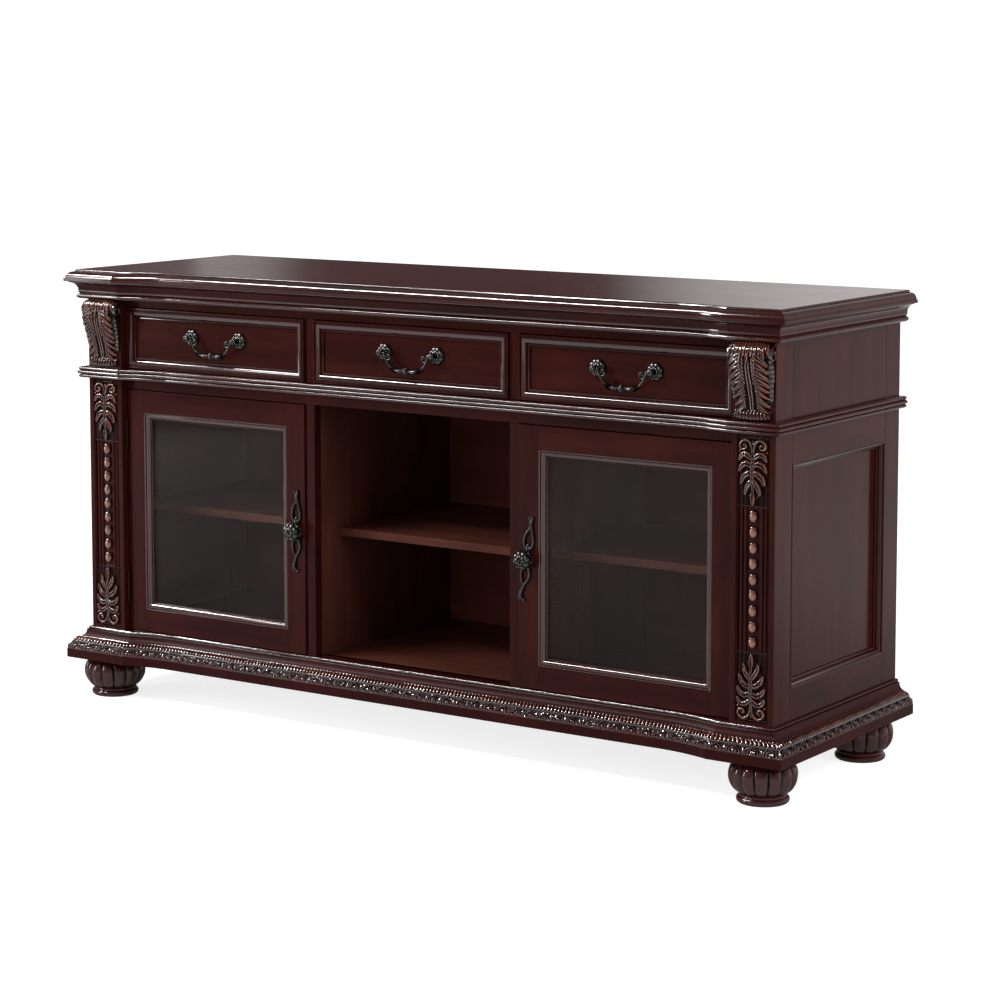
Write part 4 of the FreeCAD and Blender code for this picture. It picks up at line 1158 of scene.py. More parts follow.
def make_corbel(side):
    """A carved bracket: an acanthus leaf that hangs from the crown and curls out at its foot."""
    sign = SIGN[side]
    low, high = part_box(f"{side}_corbel")
    top, bottom = high.z / MM, low.z / MM
    fall = [(15, 0), (21, 7), (25.5, 17), (28, 30), (27, 45), (22.5, 61), (16.5, 78), (11.5, 95), (8.2, 110),
            (7, 121), (8.2, 129), (9.5, 134), (6.5, top - bottom)]
    curve = smooth(fall, 80)
    girth, slope = distances(curve), headings(curve)

    def ground(u, v, h):
        v = min(max(v, 0.0), girth[-1])
        out, down = (np.interp(v, girth, curve[:, axis]) for axis in (0, 1))
        away, drop = (np.interp(v, girth, slope[:, axis]) for axis in (0, 1))
        return (sign * POST_MID + u * MM, Y_POST - (out + h * drop) * MM, (top - down + h * away) * MM)

    def plain(v):
        """Half the width at a place along the fall."""
        return np.interp(v, [0, 40, 80, 120, girth[-1]], [40, 40, 37, 34.5, 36])

    def width(v):
        """The same with the teeth that the tips of the fingers make."""
        return plain(v) + 2.0 * (v / 8.6 % 1)

    leaf = Relief(girth[-1], width)
    # Two leaves either side of a dark strip, the upper one drooping and the lower one long, under a fringe of
    # tongues.
    for v, long in zip(np.linspace(20, 70, 8), (1, 0.8, 1, 0.75, 1, 0.8, 1, 0.7)):
        finger = [(13, v), (20, v + 5), (29, v + 12 * long), (33 + 6 * long, v + 22 * long)]
        leaf.stroke(finger, 2.3 + 0.8 * long, 4.4, curl=1.2)
        leaf.stroke([(13, v), (10, v + 4), (8.5, v + 8)], 1.7, 2.6, tip=0.5)
    for v, long in zip(np.linspace(64, 112, 8), (1, 0.8, 1, 0.75, 1, 0.8, 1, 0.8)):
        finger = [(12, v), (17, v + 11), (25, v + 21 * long), (29 + 7 * long, v + 29 * long)]
        leaf.stroke(finger, 2.1 + 0.8 * long, 4.6, curl=1.4)
    leaf.stroke([(14, 16), (15, 40), (13, 62)], 1.9, 4.8, tip=0.6)
    leaf.stroke([(13, 62), (14.5, 90), (12, 124)], 1.9, 4.8, tip=0.6)
    leaf.stroke([(2.6, 34), (3.0, 80), (2.4, 128)], 1.4, 2.2, tip=0.8)
    leaf.settle()
    for place in range(-5, 6):
        tall = 38 - 1.6 * abs(place) - 9 * (place % 2)
        lean = place * (7.2 + 0.02 * tall)
        tongue = [(place * 7.0, 2), (place * 7.2, tall / 2), (lean, tall)]
        leaf.stroke(tongue, 3.6, 5.2, sides=(1,), tip=0.4, hollow=0.35, curl=1.2)
    leaf.stroke([(-36, 135), (0, 137), (36, 135)], 8.5, 3.0, 0, (1,), tip=0.9)
    for place in range(-5, 6):
        leaf.stroke([(place * 6.9, 129), (place * 7.0, 136), (place * 7.2, 142)], 3.6, 3.8, sides=(1,), tip=0.6)
        leaf.stroke([(place * 6.9 + 3.4, 143), (place * 6.9 + 3.4, 149)], 3.3, 2.6, sides=(1,), tip=0.8)
    leaf.settle()

    def front(u, v, h):
        place = abs(u) / float(width(v))
        return ground(u, v, 0.8 * h - 6 * place**4 - 1)

    def behind(u, v, h):
        return (sign * POST_MID + u * float(plain(v) / width(v)) * MM, Y_POST + 2 * MM, front(u, v, h)[2])

    carving = Carving(ground)
    carving.add(*leaf.shell(front, behind))
    volute = [(1, 3), (10, 6), (18, 14), (18, 25), (10.5, 30), (4, 24), (6, 16), (12, 15.5), (13, 21)]
    for way in (-1, 1):
        carving.ground = lambda u, v, h: (
            sign * POST_MID + way * (float(width(v)) + 0.4 + h) * MM, Y_POST - u * MM, (top - v) * MM)
        for path, half, rise, blunt, count in (
            (volute, 2.4, 4.0, 0.15, 36),
            (((17, 34), (12, 56), (6.5, 80), (2.5, 104)), 2.4, 3.6, 0.2, 24),
            (((11, 34), (6.5, 54), (2.5, 74)), 2.0, 3.2, 0.3, 20),
        ):
            carving.lobe(path, half, rise, STRAND, blunt, count, sink=2.6)
    piece = carving.piece(f"{side}_carved_corbel")
    keep(piece, "polish", ridges(piece) * (places(piece)[:, 1] < Y_POST))
    deliver(piece, CABINET, "cherry", [f"{side}_corbel"], "carved_cherry", crisp=48)


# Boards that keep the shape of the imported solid, by finish; each gets eased edges and its own grain.
PLAIN_BOARDS = {
    "cherry": ("face_stiles", "top_rail", "waist_rail"),
    "inner_cherry": ("base_back_rail", "cabinet_floor", "foot_blocks", "drawer_deck", "drawer_runners",
                     "middle_shelf", "left_shelf", "right_shelf"),
}
# Boards with holes, whose flat faces stay as they are.
PIERCED_BOARDS = ("back_panel", "left_divider", "right_divider")


def make_board(node, body, slot, width=None):
    piece = copy_of(node, f"{node}_boards")
    ease(piece, width or sizes().edge_round)
    lay_grain(piece)
    deliver(piece, body, slot, [node])


def make_pierced_board(node):
    piece = copy_of(node, f"{node}_boards", tidy=False)
    # Painted light: the back panel is painted lighter, where light falls on the back of the bay.
    keep(piece, "pale", np.full(len(piece.data.vertices), node == "back_panel"))
    lay_grain(piece)
    deliver(piece, CABINET, "inner_cherry", [node])


def make_side(side):
    """Stiles and rails of a side, with a flush panel above and a sunk one below."""
    low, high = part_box(f"{side}_side_frame")
    inner_low, inner_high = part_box(f"{side}_panel_moulding")
    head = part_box(f"{side}_side_panels")[1].z
    y0, y1 = inner_low.y, inner_high.y
    shelf = WAIST_HIGH.z
    spans = (
        (low.y, y0, low.z, high.z), (y1, high.y, low.z, high.z), (y0, y1, low.z, inner_low.z),
        (y0, y1, inner_high.z, shelf), (y0, y1, head, high.z),
    )
    boards = [
        eased_block(f"{side}_side_board_{spot}", (low.x, a, c), (high.x, b, d))
        for spot, (a, b, c, d) in enumerate(spans)
    ]
    framed = joined(f"{side}_side_boards", boards)
    lay_grain(framed)
    deliver(framed, CABINET, "cherry", [f"{side}_side_frame"])
    x0, x1 = (low.x, inner_low.x) if side == "right" else (inner_high.x, high.x)
    flush = eased_block(f"{side}_flush_panel", (low.x, y0, shelf), (high.x, y1, head))
    sunk = block(f"{side}_sunk_panel", (x0, y0, inner_low.z), (x1, y1, inner_high.z))
    panels = joined(f"{side}_panels", [flush, sunk])
    lay_grain(panels, 2)
    deliver(panels, CABINET, "cherry", [f"{side}_side_panels"])


def ring(name, low, high, flat, rows, shine):
    """A moulding round a rectangle.

    The corners give the rectangle, flat is the axis that the rows' second number runs along, and
    each row is an inset from the rectangle and a place on that axis."""
    axes = [axis for axis in range(3) if axis != flat]
    points = []
    for ends in ((low, low), (high, low), (high, high), (low, high)):
        for inset, place in rows:
            point = [place] * 3
            for axis, end in zip(axes, ends):
                point[axis] = end[axis] + (inset if end is low else -inset)
            points.append(point)
    piece = from_points(name, points, net(4, len(rows), around=True, looped=True))
    keep(piece, "polish", shine * np.tile(noses(rows), 4))
    weld(piece, 0.001 * MM)
    return piece


def make_side_moulding(side):
    """The moulding that frames the sunk panel of a side."""
    sign = SIGN[side]
    low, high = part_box(f"{side}_panel_moulding")
    deep = (high.x - low.x) / MM
    inner = low.x if sign > 0 else high.x
    profile = [(0, 0), (0, deep + 0.6), (1.6, deep + 1.2), (2.9, deep + 0.3), (3.2, deep - 1.6)]
    profile += [(3.2 + 6.6 * share, deep - 1.8 - (deep - 6.5) * (1 - math.sqrt(1 - share**2)))
                for share in (0.15, 0.35, 0.55, 0.72, 0.86, 0.95, 1.0)]
    profile += [(10.4, 4.4), (11.6, 4.2), (12.4, 3.2), (12.4, 0)]
    rows = [(inset * MM, inner + sign * out * MM) for inset, out in profile]
    piece = ring(f"{side}_panel_frame", low, high, 0, rows, 0.2)
    lay_grain(piece)
    deliver(piece, CABINET, "cherry", [f"{side}_panel_moulding"], crisp=26)


# Steps of the front of a drawer, from its edge inwards: width and depth in millimetres. Six of them go down a
# quarter round, whose heights come first.
ROUND = [6.0 * math.sqrt(1 - (step / 6) ** 2) for step in range(7)]
ROUND_STEPS = [(1.5, after - before) for before, after in zip(ROUND, ROUND[1:])]
DRAWER_STEPS = [(1.8, 0), (0.7, -0.7), (0.5, -2.2), (1.2, 0), (0.5, 1.9), (0.7, 0.7), (1.4, 0), *ROUND_STEPS,
                (0.4, -0.8), (1.0, 0), (0.6, 0.8), (1.3, 0.2), (0.9, -1.2), (0.5, -2.7)]


def make_drawer(side):
    body = f"{side}_drawer"
    low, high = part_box(f"{side}_drawer_front")
    piece = eased_block(f"{side}_drawer_moulded_front", low, high)
    edit(piece)
    pick(piece, "FACE", lambda face: face.normal.y < -0.99 and face.calc_area() > 0.01)
    for thickness, depth in DRAWER_STEPS:
        bpy.ops.mesh.inset(thickness=thickness * MM, depth=depth * MM)
    leave()
    lay_grain(piece, 0)
    points = places(piece)[:, [0, 2]]
    inset = np.minimum(points - (low.x, low.z), (high.x, high.z) - points).min(1)
    rows = np.cumsum([(0, 0), *DRAWER_STEPS], axis=0)
    shine = noses([*rows, (rows[-1, 0], -20), (0, -20)])[: len(rows)]
    shine[[0, 1, -1]] = 0
    keep(piece, "polish", shine[np.abs(inset[:, None] / MM - rows[:, 0]).argmin(1)])
    deliver(piece, body, "cherry", [f"{side}_drawer_front"], crisp=24)
    make_board(f"{side}_drawer_box", body, "drawer_wood", 0.8 * MM)
    make_board(f"{side}_drawer_bottom", body, "drawer_wood", 0.5 * MM)


# Face of the members of a door; the mould round its glass stands a little proud of it.
DOOR_FRONT = -208 * MM


def make_door(side):
    """Two stiles and two rails with a mould round the glass."""
    size = sizes()
    body = f"{side}_door"
    member = size.door_member
    low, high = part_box(f"{side}_door_frame")
    x0, x1, z0, z1 = low.x + member, high.x - member, low.z + member, high.z - member
    spans = ((low.x, x0, low.z, high.z), (x1, high.x, low.z, high.z), (x0, x1, low.z, z0), (x0, x1, z1, high.z))
    pieces = [
        eased_block(f"{side}_door_member_{spot}", (a, DOOR_FRONT, c), (b, high.y, d), size.edge_round * 0.7)
        for spot, (a, b, c, d) in enumerate(spans)
    ]
    profile = [(-0.4, -198), (-0.4, -208.2), (0.4, -208.9), (1.8, -208.9), (2.6, -208), (3, -206.4), (4, -206.6)]
    profile += [(4.0 + 8.2 * share, -206.9 + 6.4 * (1 - math.sqrt(1 - share**2)))
                for share in (0.2, 0.4, 0.6, 0.78, 0.9, 0.97, 1.0)]
    profile += [(13.4, -200.6), (14.2, -199.8), (14.2, -198)]
    rows = [(inset * MM, y * MM) for inset, y in profile]
    pieces.append(ring(f"{side}_door_mould", Vector((x0, 0, z0)), Vector((x1, 0, z1)), 1, rows, 1.0))
    frame_piece = joined(f"{side}_glazed_door", pieces)
    lay_grain(frame_piece)
    deliver(frame_piece, body, "cherry", [f"{side}_door_frame"], crisp=26)
    make_pane(side, body)


def make_pane(side, body):
    """The glass, its front edge ground to a bevel."""
    low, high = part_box(f"{side}_door_glass")
    piece = block(f"{side}_door_pane", low, high)
    edit(piece)
    pick(piece, "FACE", lambda face: face.normal.y < -0.99)
    bpy.ops.mesh.inset(thickness=6 * MM, depth=0)
    bpy.ops.mesh.inset(thickness=sizes().glass_bevel, depth=2.0 * MM)
    leave()
    deliver(piece, body, "glass", [f"{side}_door_glass"])


class Casting(Carving):
    """Cast metal, collected from bent rods, bosses and leaves on a ground."""

    def add_rings(self, points, relief, spokes):
        """Add a closed piece from rings of points."""
        shape = len(points) // spokes, spokes
        self.add(points, net(*shape, around=True) + caps(*shape), relief)

    def rod(self, path, radii, count=28, spokes=10):
        """A rod along a path of (across, along, height) whose radius changes; its ends are closed."""
        line = smooth(path, count)
        radius = np.interp(np.linspace(0, 1, count), np.linspace(0, 1, len(radii)), radii)
        ahead = headings(line)
        points, relief = [], []
        for spot in range(count):
            up = np.array([0.0, 0.0, 1.0])
            if abs(ahead[spot][2]) > 0.9:
                up = np.array([0.0, 1.0, 0.0])
            side = np.cross(ahead[spot], up)
            side /= np.linalg.norm(side)
            up = np.cross(side, ahead[spot])
            for spoke in range(spokes):
                turn = 2 * math.pi * spoke / spokes
                offset = radius[spot] * (math.cos(turn) * side + math.sin(turn) * up)
                points.append(self.ground(*(line[spot] + offset)))
                relief.append(0.3 + 0.6 * max(0.0, math.sin(turn)) ** 2)
        self.add_rings(points, relief, spokes)

    def ball(self, u, v, h, radius, lobes=0, cut=0.14, tall=1.0, rings=9, spokes=24):
        """A ball, or a melon if it has lobes about the line along the piece."""
        points, relief = [], []
        for ring_index in range(1, rings):
            polar = math.pi * ring_index / rings
            for spoke in range(spokes):
                turn = 2 * math.pi * spoke / spokes
                swell = 1 - cut * (1 - abs(math.cos(lobes * turn / 2))) if lobes else 1
                reach = radius * math.sin(polar) * swell
                points.append(self.ground(u + radius * tall * math.cos(polar), v + reach * math.cos(turn),
                                          h + reach * math.sin(turn)))
                relief.append(0.95 - 1.1 * (1 - abs(math.cos(lobes * turn / 2))) if lobes else 0.7)
        self.add_rings(points, relief, spokes)

    def rosette(self, u, v, h, radius, rise, petals=8):
        """A flower of two rows of petals round a button."""
        spokes = petals * 8
        shares = np.concatenate([[0.05], np.linspace(0.12, 1, 17)])
        points, relief = [], []
        for share in shares:
            for spoke in range(spokes):
                turn = 2 * math.pi * spoke / spokes
                through = spoke / 8
                outer = abs(through % 1 - 0.5) * 2
                inner = abs((through + 0.5) % 1 - 0.5) * 2
                reach = radius * share * (1 - 0.1 * outer**2 * share)
                petal = 1 - 0.55 * outer**2 if share > 0.56 else 1 - 0.5 * inner**2
                ripple = max(float(hump(share, *rim)) for rim in ((0.77, 0.23), (0.38, 0.2), (0, 0.2)))
                level = math.sqrt(1 - 0.92 * share**2) * (0.62 + 0.38 * petal * ripple)
                points.append(self.ground(u + reach * math.cos(turn), v + reach * math.sin(turn),
                                          h + rise * (0.08 + 0.92 * level) - 0.6 * (share > 0.995)))
                relief.append(1.05 * petal * ripple)
        self.add_rings(points, relief, spokes)

    def metal(self, name, body, nodes):
        piece = self.piece(name)
        deliver(piece, body, "antique_metal", nodes, crisp=50)


def make_bail_pull(side):
    """A rosette at each end, and the bail that hangs between them."""
    low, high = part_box(f"{side}_pull_posts")
    x_mid = (low.x + high.x) / 2
    z_axis = (low.z + high.z) / 2
    spread, stand_off = 61, 15.5
    y_axis = high.y - stand_off * MM

    def ground(u, v, h):
        return (x_mid + u * MM, y_axis - h * MM, z_axis + v * MM)

    posts = Casting(ground)
    for end in (-spread, spread):
        posts.rosette(end, 0, -stand_off, 17.5, 8.5)
        posts.rod([(end, 0, -12), (end, 0, -6), (end, 0, 0), (end, 0, 4.4)], (5.4, 4.6, 4.8, 5.6), 10, 18)
        posts.rosette(end, 0, 4.2, 6.4, 3.2, 6)
    posts.metal(f"{side}_pull_rosettes", f"{side}_drawer", [f"{side}_pull_posts"])

    bail = Casting(ground)
    arm = [(55.6, 0), (51.5, -0.6), (49.2, -6.5), (44.5, -16), (37.5, -24.5), (28, -30.8), (17, -33.2), (9, -33.2),
           (3, -33)]
    curl = [(48.6, -9), (44.5, -12.6), (39, -11.4), (36.6, -6.4), (39.4, -1.8), (43.6, -2.8), (44.2, -6.4),
            (41.4, -7)]
    radii = (2.6, 3.3, 3.0, 2.5, 2.5, 3.4, 4.6, 3.0, 3.4)
    for sign in (-1, 1):
        bail.rod([(sign * u, v, 0) for u, v in arm], radii, 44, 12)
        bail.rod([(sign * u, v, 0.4) for u, v in curl], (2.2, 2.0, 1.9, 1.8, 1.7, 1.5, 1.4, 1.3), 36, 9)
        bail.ball(sign * 41.4, -6.6, 0.6, 2.2, spokes=12, rings=7)
        for root, tip in (((36, -24.5), (20, -28.2)), ((37, -26.5), (20, -37)), ((34, -27.6), (15, -33))):
            middle = ((root[0] + tip[0]) / 2, (root[1] + tip[1]) / 2 - 1.5)
            leaf = [(sign * u, v) for u, v in (root, middle, tip)]
            bail.lobe(leaf, 2.6, 5.4, blunt=0.6, sink=1.0)
        bail.ball(sign * 9.6, -33.1, 0, 4.4, 8, spokes=24, tall=0.55)
    bail.ball(0, -33, 0, 7.5, 10, 0.2, spokes=40)
    bail.metal(f"{side}_cast_bail", f"{side}_bail", [f"{side}_bail"])


def make_door_pull(side):
    """A pierced cast pull with a rosette knob."""
    low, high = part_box(f"{side}_door_pull")
    tilt = math.radians(7) if side == "right" else 0
    x_mid, z_mid = (low.x + high.x) / 2, (low.z + high.z) / 2
    y_door = high.y

    def ground(u, v, h):
        across = u * math.cos(tilt) + v * math.sin(tilt)
        along = v * math.cos(tilt) - u * math.sin(tilt)
        return (x_mid + across * MM, y_door - h * MM, z_mid + along * MM)

    pull = Casting(ground)
    level = 2.2
    strands = [
        ([(2, 17), (-7, 24), (-10, 35), (-7, 47), (-1, 57), (3, 63)], (2.6, 2.4, 2.3, 2.2, 2.2, 2.6)),
        ([(0, 17), (8, 23), (10.5, 34), (8.5, 46), (5, 56), (3, 63)], (2.6, 2.4, 2.3, 2.2, 2.2, 2.6)),
        ([(-4, 20), (0, 26), (4, 24), (3, 19)], (1.8, 1.8, 1.6, 1.4)),
        ([(-6, -15), (-9, -27), (-7, -39), (-2, -48)], (2.6, 2.4, 2.2, 2.0)),
        ([(6, -15), (9.5, -27), (7, -39), (0, -50), (-3, -61)], (2.8, 2.5, 2.3, 2.3, 2.6)),
        ([(3, 63), (1.5, 70), (4, 76), (3, 82)], (2.8, 3.6, 3.0, 1.2)),
        ([(3, 72), (-2, 77), (-1, 82)], (2.2, 2.2, 1.2)),
        ([(-3, -60), (-5.5, -68), (-2, -75), (2.5, -79), (4.5, -76)], (2.8, 3.2, 2.6, 2.2, 1.4)),
        ([(-5, -66), (-8, -73), (-6, -80)], (2.2, 2.0, 1.0)),
    ]
    for path, radii in strands:
        pull.rod([(u, v, level) for u, v in path], [1.2 * radius for radius in radii], 30)
    for u, v, radius in ((1, 18, 5.2), (0, -17, 5.2), (3, 64, 4.2), (-3, -60, 4.2), (5, 78, 2.4), (3.6, -78, 2.4)):
        pull.ball(u, v, level, radius, 7, 0.2)
    pull.rod([(0, 0, 0), (0, 0, 5), (0, 0, 11), (0, 0, 17)], (9.5, 6.4, 6.0, 8.5), 14, 20)
    pull.rosette(0, 0, 0.2, 13.5, 4, 8)
    pull.rosette(0, 0, 15.6, 19.5, 14, 8)
    pull.metal(f"{side}_cast_door_pull", f"{side}_door", [f"{side}_door_pull"])


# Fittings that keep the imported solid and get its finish.
FITTINGS = {
    "hinge_brass": ("hinge_frame_leaves", "left_door_hinge_leaves", "right_door_hinge_leaves"),
    "pin_steel": ("shelf_pins",),
    "catch_plastic": ("door_catches",),
}


def dress_fittings():
    for name, nodes in FITTINGS.items():
        for node in nodes:
            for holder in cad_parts[node].material_slots:
                holder.material = finish_of(name)


def make_floor():
    bpy.ops.object.select_all(action="DESELECT")
    bpy.ops.mesh.primitive_plane_add(size=160, location=(0, 0, 0))
    floor = bpy.context.active_object
    floor.name = floor.data.name = "studio_floor"
    finish = Finish("floor_paper", Roughness=0.95, Specular_IOR_Level=0.0, Emission_Strength=1.0)
    place = finish.place()
    mottle = finish.noise(place, (30, 30, 30), 2)
    seen, mirrored, through = (
        finish.node("ShaderNodeLightPath", out=f"Is {kind} Ray") for kind in ("Camera", "Glossy", "Transmission")
    )
    far = finish.limit(finish.node("ShaderNodeVectorMath", {"operation": "LENGTH"}, place, out=1), 1.6, 4.0)
    behind = finish.limit(finish.node("ShaderNodeSeparateXYZ", None, place, out=1), 0.4, 2.0)
    lift = finish.limit((0.8 + 0.25 * far) * seen + (0.15 + 0.7 * behind) * (mirrored + through), 0.0, 1.1)
    glow = finish.mix(1.1 * lift, (0.0, 0.0, 0.0), (1.0, 1.0, 1.0))
    finish.show(Base_Color=finish.mix(mottle, (0.54, 0.54, 0.54), (0.56, 0.56, 0.56)), Emission_Color=glow)
    floor.data.materials.append(finish.material)


def make_world():
    """White at the horizon, a darker room with a bright window low behind, and an even light above."""
    stage = bpy.context.scene.cabinet_stage
    world = bpy.data.worlds.new("studio")
    bpy.context.scene.world = world
    world.use_nodes = True
    sky = Nodes(world.node_tree, "ShaderNodeOutputWorld")
    way = sky.node("ShaderNodeTexCoord", out=0)
    across, back, up = (sky.node("ShaderNodeSeparateXYZ", None, way, out=axis) for axis in range(3))
    turn = (0 - across) / sky.node("ShaderNodeMath", {"operation": "MAXIMUM"}, back, 0.01)
    glow = ((0.49, 0.95), (0.535, 0.8), (0.58, 0.56), (0.625, 0.06), (0.66, 0.034), (0.76, 0.034), (0.785, 0.06),
            (0.812, 0.34), (0.846, 0.42), (0.852, 0.14), (0.9, 0.1))
    room = sky.ramp(turn, *((place, (level + 0.035, level, level)) for place, level in glow))
    behind = sky.limit(back, -0.1, 0.35)
    above = sky.limit(up, math.sin(math.radians(14)), math.sin(math.radians(38)))
    below = sky.limit(up, math.sin(math.radians(1.1)), math.sin(math.radians(1.7)))
    walls = sky.mix(behind, (stage.walls,) * 3, room)
    colour = sky.mix(above, walls, (stage.sky,) * 3)
    sky.link(sky.node("ShaderNodeBackground", None, sky.mix(below, (1.0, 1.0, 1.0), colour)))


LIGHT_AIM = Vector((0, -0.2, 0.5))


def add_softbox(name, place, width, height, radiance, lights=True, mirrored=True):
    """A rectangular lamp that faces the cabinet, and lights it, is mirrored in it, or both."""
    bpy.ops.object.light_add(type="AREA", location=place)
    lamp = bpy.context.active_object
    lamp.name = lamp.data.name = name
    lamp.data.shape = "RECTANGLE"
    lamp.data.size, lamp.data.size_y = width, height
    lamp.data.energy = radiance * math.pi * width * height
    lamp.rotation_euler = (Vector(place) - LIGHT_AIM).to_track_quat("Z", "Y").to_euler()
    lamp.visible_camera = False
    lamp.visible_diffuse, lamp.visible_glossy = lights, mirrored


def make_lights():
    stage = bpy.context.scene.cabinet_stage
    add_softbox("key_softbox", (-2.4, -2.5, 3.7), 2.2, 0.24, stage.key)
    add_softbox("rim_softbox", (-3.8, -3.2, 1.5), 0.55, 2.0, stage.rim)
    add_softbox("glint_softbox", (-3.4, -1.3, 3.1), 1.4, 0.36, stage.key, lights=False)
    add_softbox("fill_softbox", (-0.9, -5.5, 2.2), 3.0, 2.4, stage.fill, mirrored=False)
    add_softbox("side_softbox", (4.6, -0.6, 2.6), 3.0, 3.0, stage.side, mirrored=False)


def make_camera():
    stage = bpy.context.scene.cabinet_stage
    bpy.ops.object.camera_add(
        location=stage.camera_place, rotation=(math.pi / 2 - stage.camera_dip, 0, stage.camera_turn)
    )
    camera = bpy.context.active_object
    camera.name = camera.data.name = "photo_camera"
    camera.data.lens = stage.lens
    camera.data.sensor_width = 36
    camera.data.shift_y = stage.shift
    camera.data.clip_end = 400
    bpy.context.scene.camera = camera
    bpy.context.scene.view_settings.view_transform = "Standard"


class CABINET_OT_stage(bpy.types.Operator):
    """Set up the camera, the light and the floor"""

    bl_idname = "cabinet.stage"
    bl_label = "Stage"
    bl_options = {"REGISTER", "UNDO"}

    def execute(self, context):
        make_camera()
        make_floor()
        make_world()
        make_lights()
        return {"FINISHED"}


class CABINET_OT_boards(bpy.types.Operator):
    """Make the plain boards of the carcass, with eased edges and grain"""

    bl_idname = "cabinet.boards"
    bl_label = "Carcass boards"
    bl_options = {"REGISTER", "UNDO"}

    def execute(self, context):
        for slot, nodes in PLAIN_BOARDS.items():
            for node in nodes:
                make_board(node, CABINET, slot)
        for node in PIERCED_BOARDS:
            make_pierced_board(node)
        for side in SIDES:
            make_side(side)
        return {"FINISHED"}


class CABINET_OT_mouldings(bpy.types.Operator):
    """Make the breakfront top, crown, waist and base mouldings"""

    bl_idname = "cabinet.mouldings"
    bl_label = "Breakfront mouldings"
    bl_options = {"REGISTER", "UNDO"}

    def execute(self, context):
        make_top()
        make_crown()
        make_waist()
        make_base()
        return {"FINISHED"}


class CABINET_OT_posts(bpy.types.Operator):
    """Make the front posts with their leaves, beads and corbels"""

    bl_idname = "cabinet.posts"
    bl_label = "Carved posts"
    bl_options = {"REGISTER", "UNDO"}

    def execute(self, context):
        for side in SIDES:
            make_post(side)
            make_post_carving(side)
            make_corbel(side)
        return {"FINISHED"}


class CABINET_OT_feet(bpy.types.Operator):
    """Turn the fluted bun feet"""

    bl_idname = "cabinet.feet"
    bl_label = "Bun feet"
    bl_options = {"REGISTER", "UNDO"}

    def execute(self, context):
        for end in ("front", "back"):
            for side in SIDES:
                make_foot(f"{side}_{end}_bun_foot", f"foot_{end}_{side}")
        return {"FINISHED"}


class CABINET_OT_side_mouldings(bpy.types.Operator):
    """Frame the sunk panels of the sides"""

    bl_idname = "cabinet.side_mouldings"
    bl_label = "Side panel mouldings"
    bl_options = {"REGISTER", "UNDO"}

    def execute(self, context):
        for side in SIDES:
            make_side_moulding(side)
        return {"FINISHED"}


class CABINET_OT_drawers(bpy.types.Operator):
    """Make the drawers with their moulded fronts"""

    bl_idname = "cabinet.drawers"
    bl_label = "Drawers"
    bl_options = {"REGISTER", "UNDO"}

    def execute(self, context):
        for side in DRAWERS:
            make_drawer(side)
        return {"FINISHED"}


class CABINET_OT_bail_pulls(bpy.types.Operator):
    """Cast the rosettes and bails of the drawers"""

    bl_idname = "cabinet.bail_pulls"
    bl_label = "Bail pulls"
    bl_options = {"REGISTER", "UNDO"}

    def execute(self, context):
        for side in DRAWERS:
            make_bail_pull(side)
        return {"FINISHED"}


class CABINET_OT_doors(bpy.types.Operator):
    """Make the glazed doors"""

    bl_idname = "cabinet.doors"
    bl_label = "Glazed doors"
    bl_options = {"REGISTER", "UNDO"}

    def execute(self, context):
        for side in SIDES:
            make_door(side)
        return {"FINISHED"}


class CABINET_OT_door_pulls(bpy.types.Operator):
    """Cast the pierced pulls of the doors"""

    bl_idname = "cabinet.door_pulls"
    bl_label = "Door pulls"
    bl_options = {"REGISTER", "UNDO"}

    def execute(self, context):
        for side in SIDES:
            make_door_pull(side)
        return {"FINISHED"}


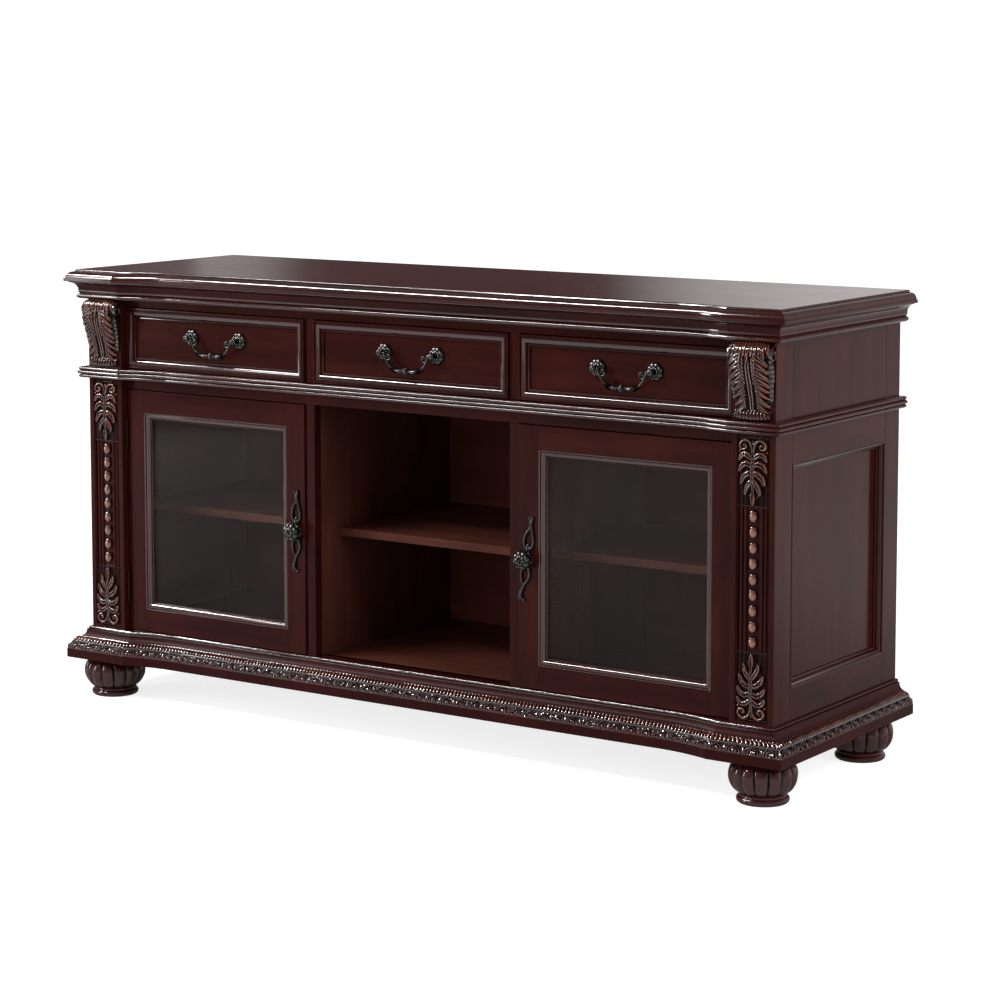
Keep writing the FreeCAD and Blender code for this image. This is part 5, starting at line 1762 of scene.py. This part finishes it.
class CABINET_OT_fittings(bpy.types.Operator):
    """Finish the hinges, shelf pins and catches"""

    bl_idname = "cabinet.fittings"
    bl_label = "Hinges, pins and catches"
    bl_options = {"REGISTER", "UNDO"}

    def execute(self, context):
        dress_fittings()
        return {"FINISHED"}


# In the order in which they run.
OPERATORS = (
    CABINET_OT_stage,
    CABINET_OT_boards,
    CABINET_OT_mouldings,
    CABINET_OT_posts,
    CABINET_OT_feet,
    CABINET_OT_side_mouldings,
    CABINET_OT_drawers,
    CABINET_OT_bail_pulls,
    CABINET_OT_doors,
    CABINET_OT_door_pulls,
    CABINET_OT_fittings,
)


class CABINET_PT_sidebar(bpy.types.Panel):
    """Lists the pieces in the order in which they are made"""

    bl_idname = "CABINET_PT_sidebar"
    bl_label = "Carved media cabinet"
    bl_space_type = "VIEW_3D"
    bl_region_type = "UI"
    bl_category = "Cabinet"

    def draw(self, context):
        for operator in OPERATORS:
            self.layout.operator(operator.bl_idname)
        for group in (context.scene.cabinet_sizes, context.scene.cabinet_finish, context.scene.cabinet_stage):
            box = self.layout.box()
            for name in group.__annotations__:
                box.prop(group, name)


CLASSES = (CabinetSizes, CabinetFinish, CabinetStage, *OPERATORS, CABINET_PT_sidebar)


def register():
    for cls in CLASSES:
        bpy.utils.register_class(cls)
    bpy.types.Scene.cabinet_sizes = PointerProperty(type=CabinetSizes)
    bpy.types.Scene.cabinet_finish = PointerProperty(type=CabinetFinish)
    bpy.types.Scene.cabinet_stage = PointerProperty(type=CabinetStage)


def unregister():
    del bpy.types.Scene.cabinet_sizes, bpy.types.Scene.cabinet_finish, bpy.types.Scene.cabinet_stage
    for cls in reversed(CLASSES):
        bpy.utils.unregister_class(cls)


def main():
    register()
    bpy.ops.cabinet.stage()
    bpy.ops.cabinet.boards()
    bpy.ops.cabinet.mouldings()
    bpy.ops.cabinet.posts()
    bpy.ops.cabinet.feet()
    bpy.ops.cabinet.side_mouldings()
    bpy.ops.cabinet.drawers()
    bpy.ops.cabinet.bail_pulls()
    bpy.ops.cabinet.doors()
    bpy.ops.cabinet.door_pulls()
    bpy.ops.cabinet.fittings()


if __name__ == "__main__":
    main()
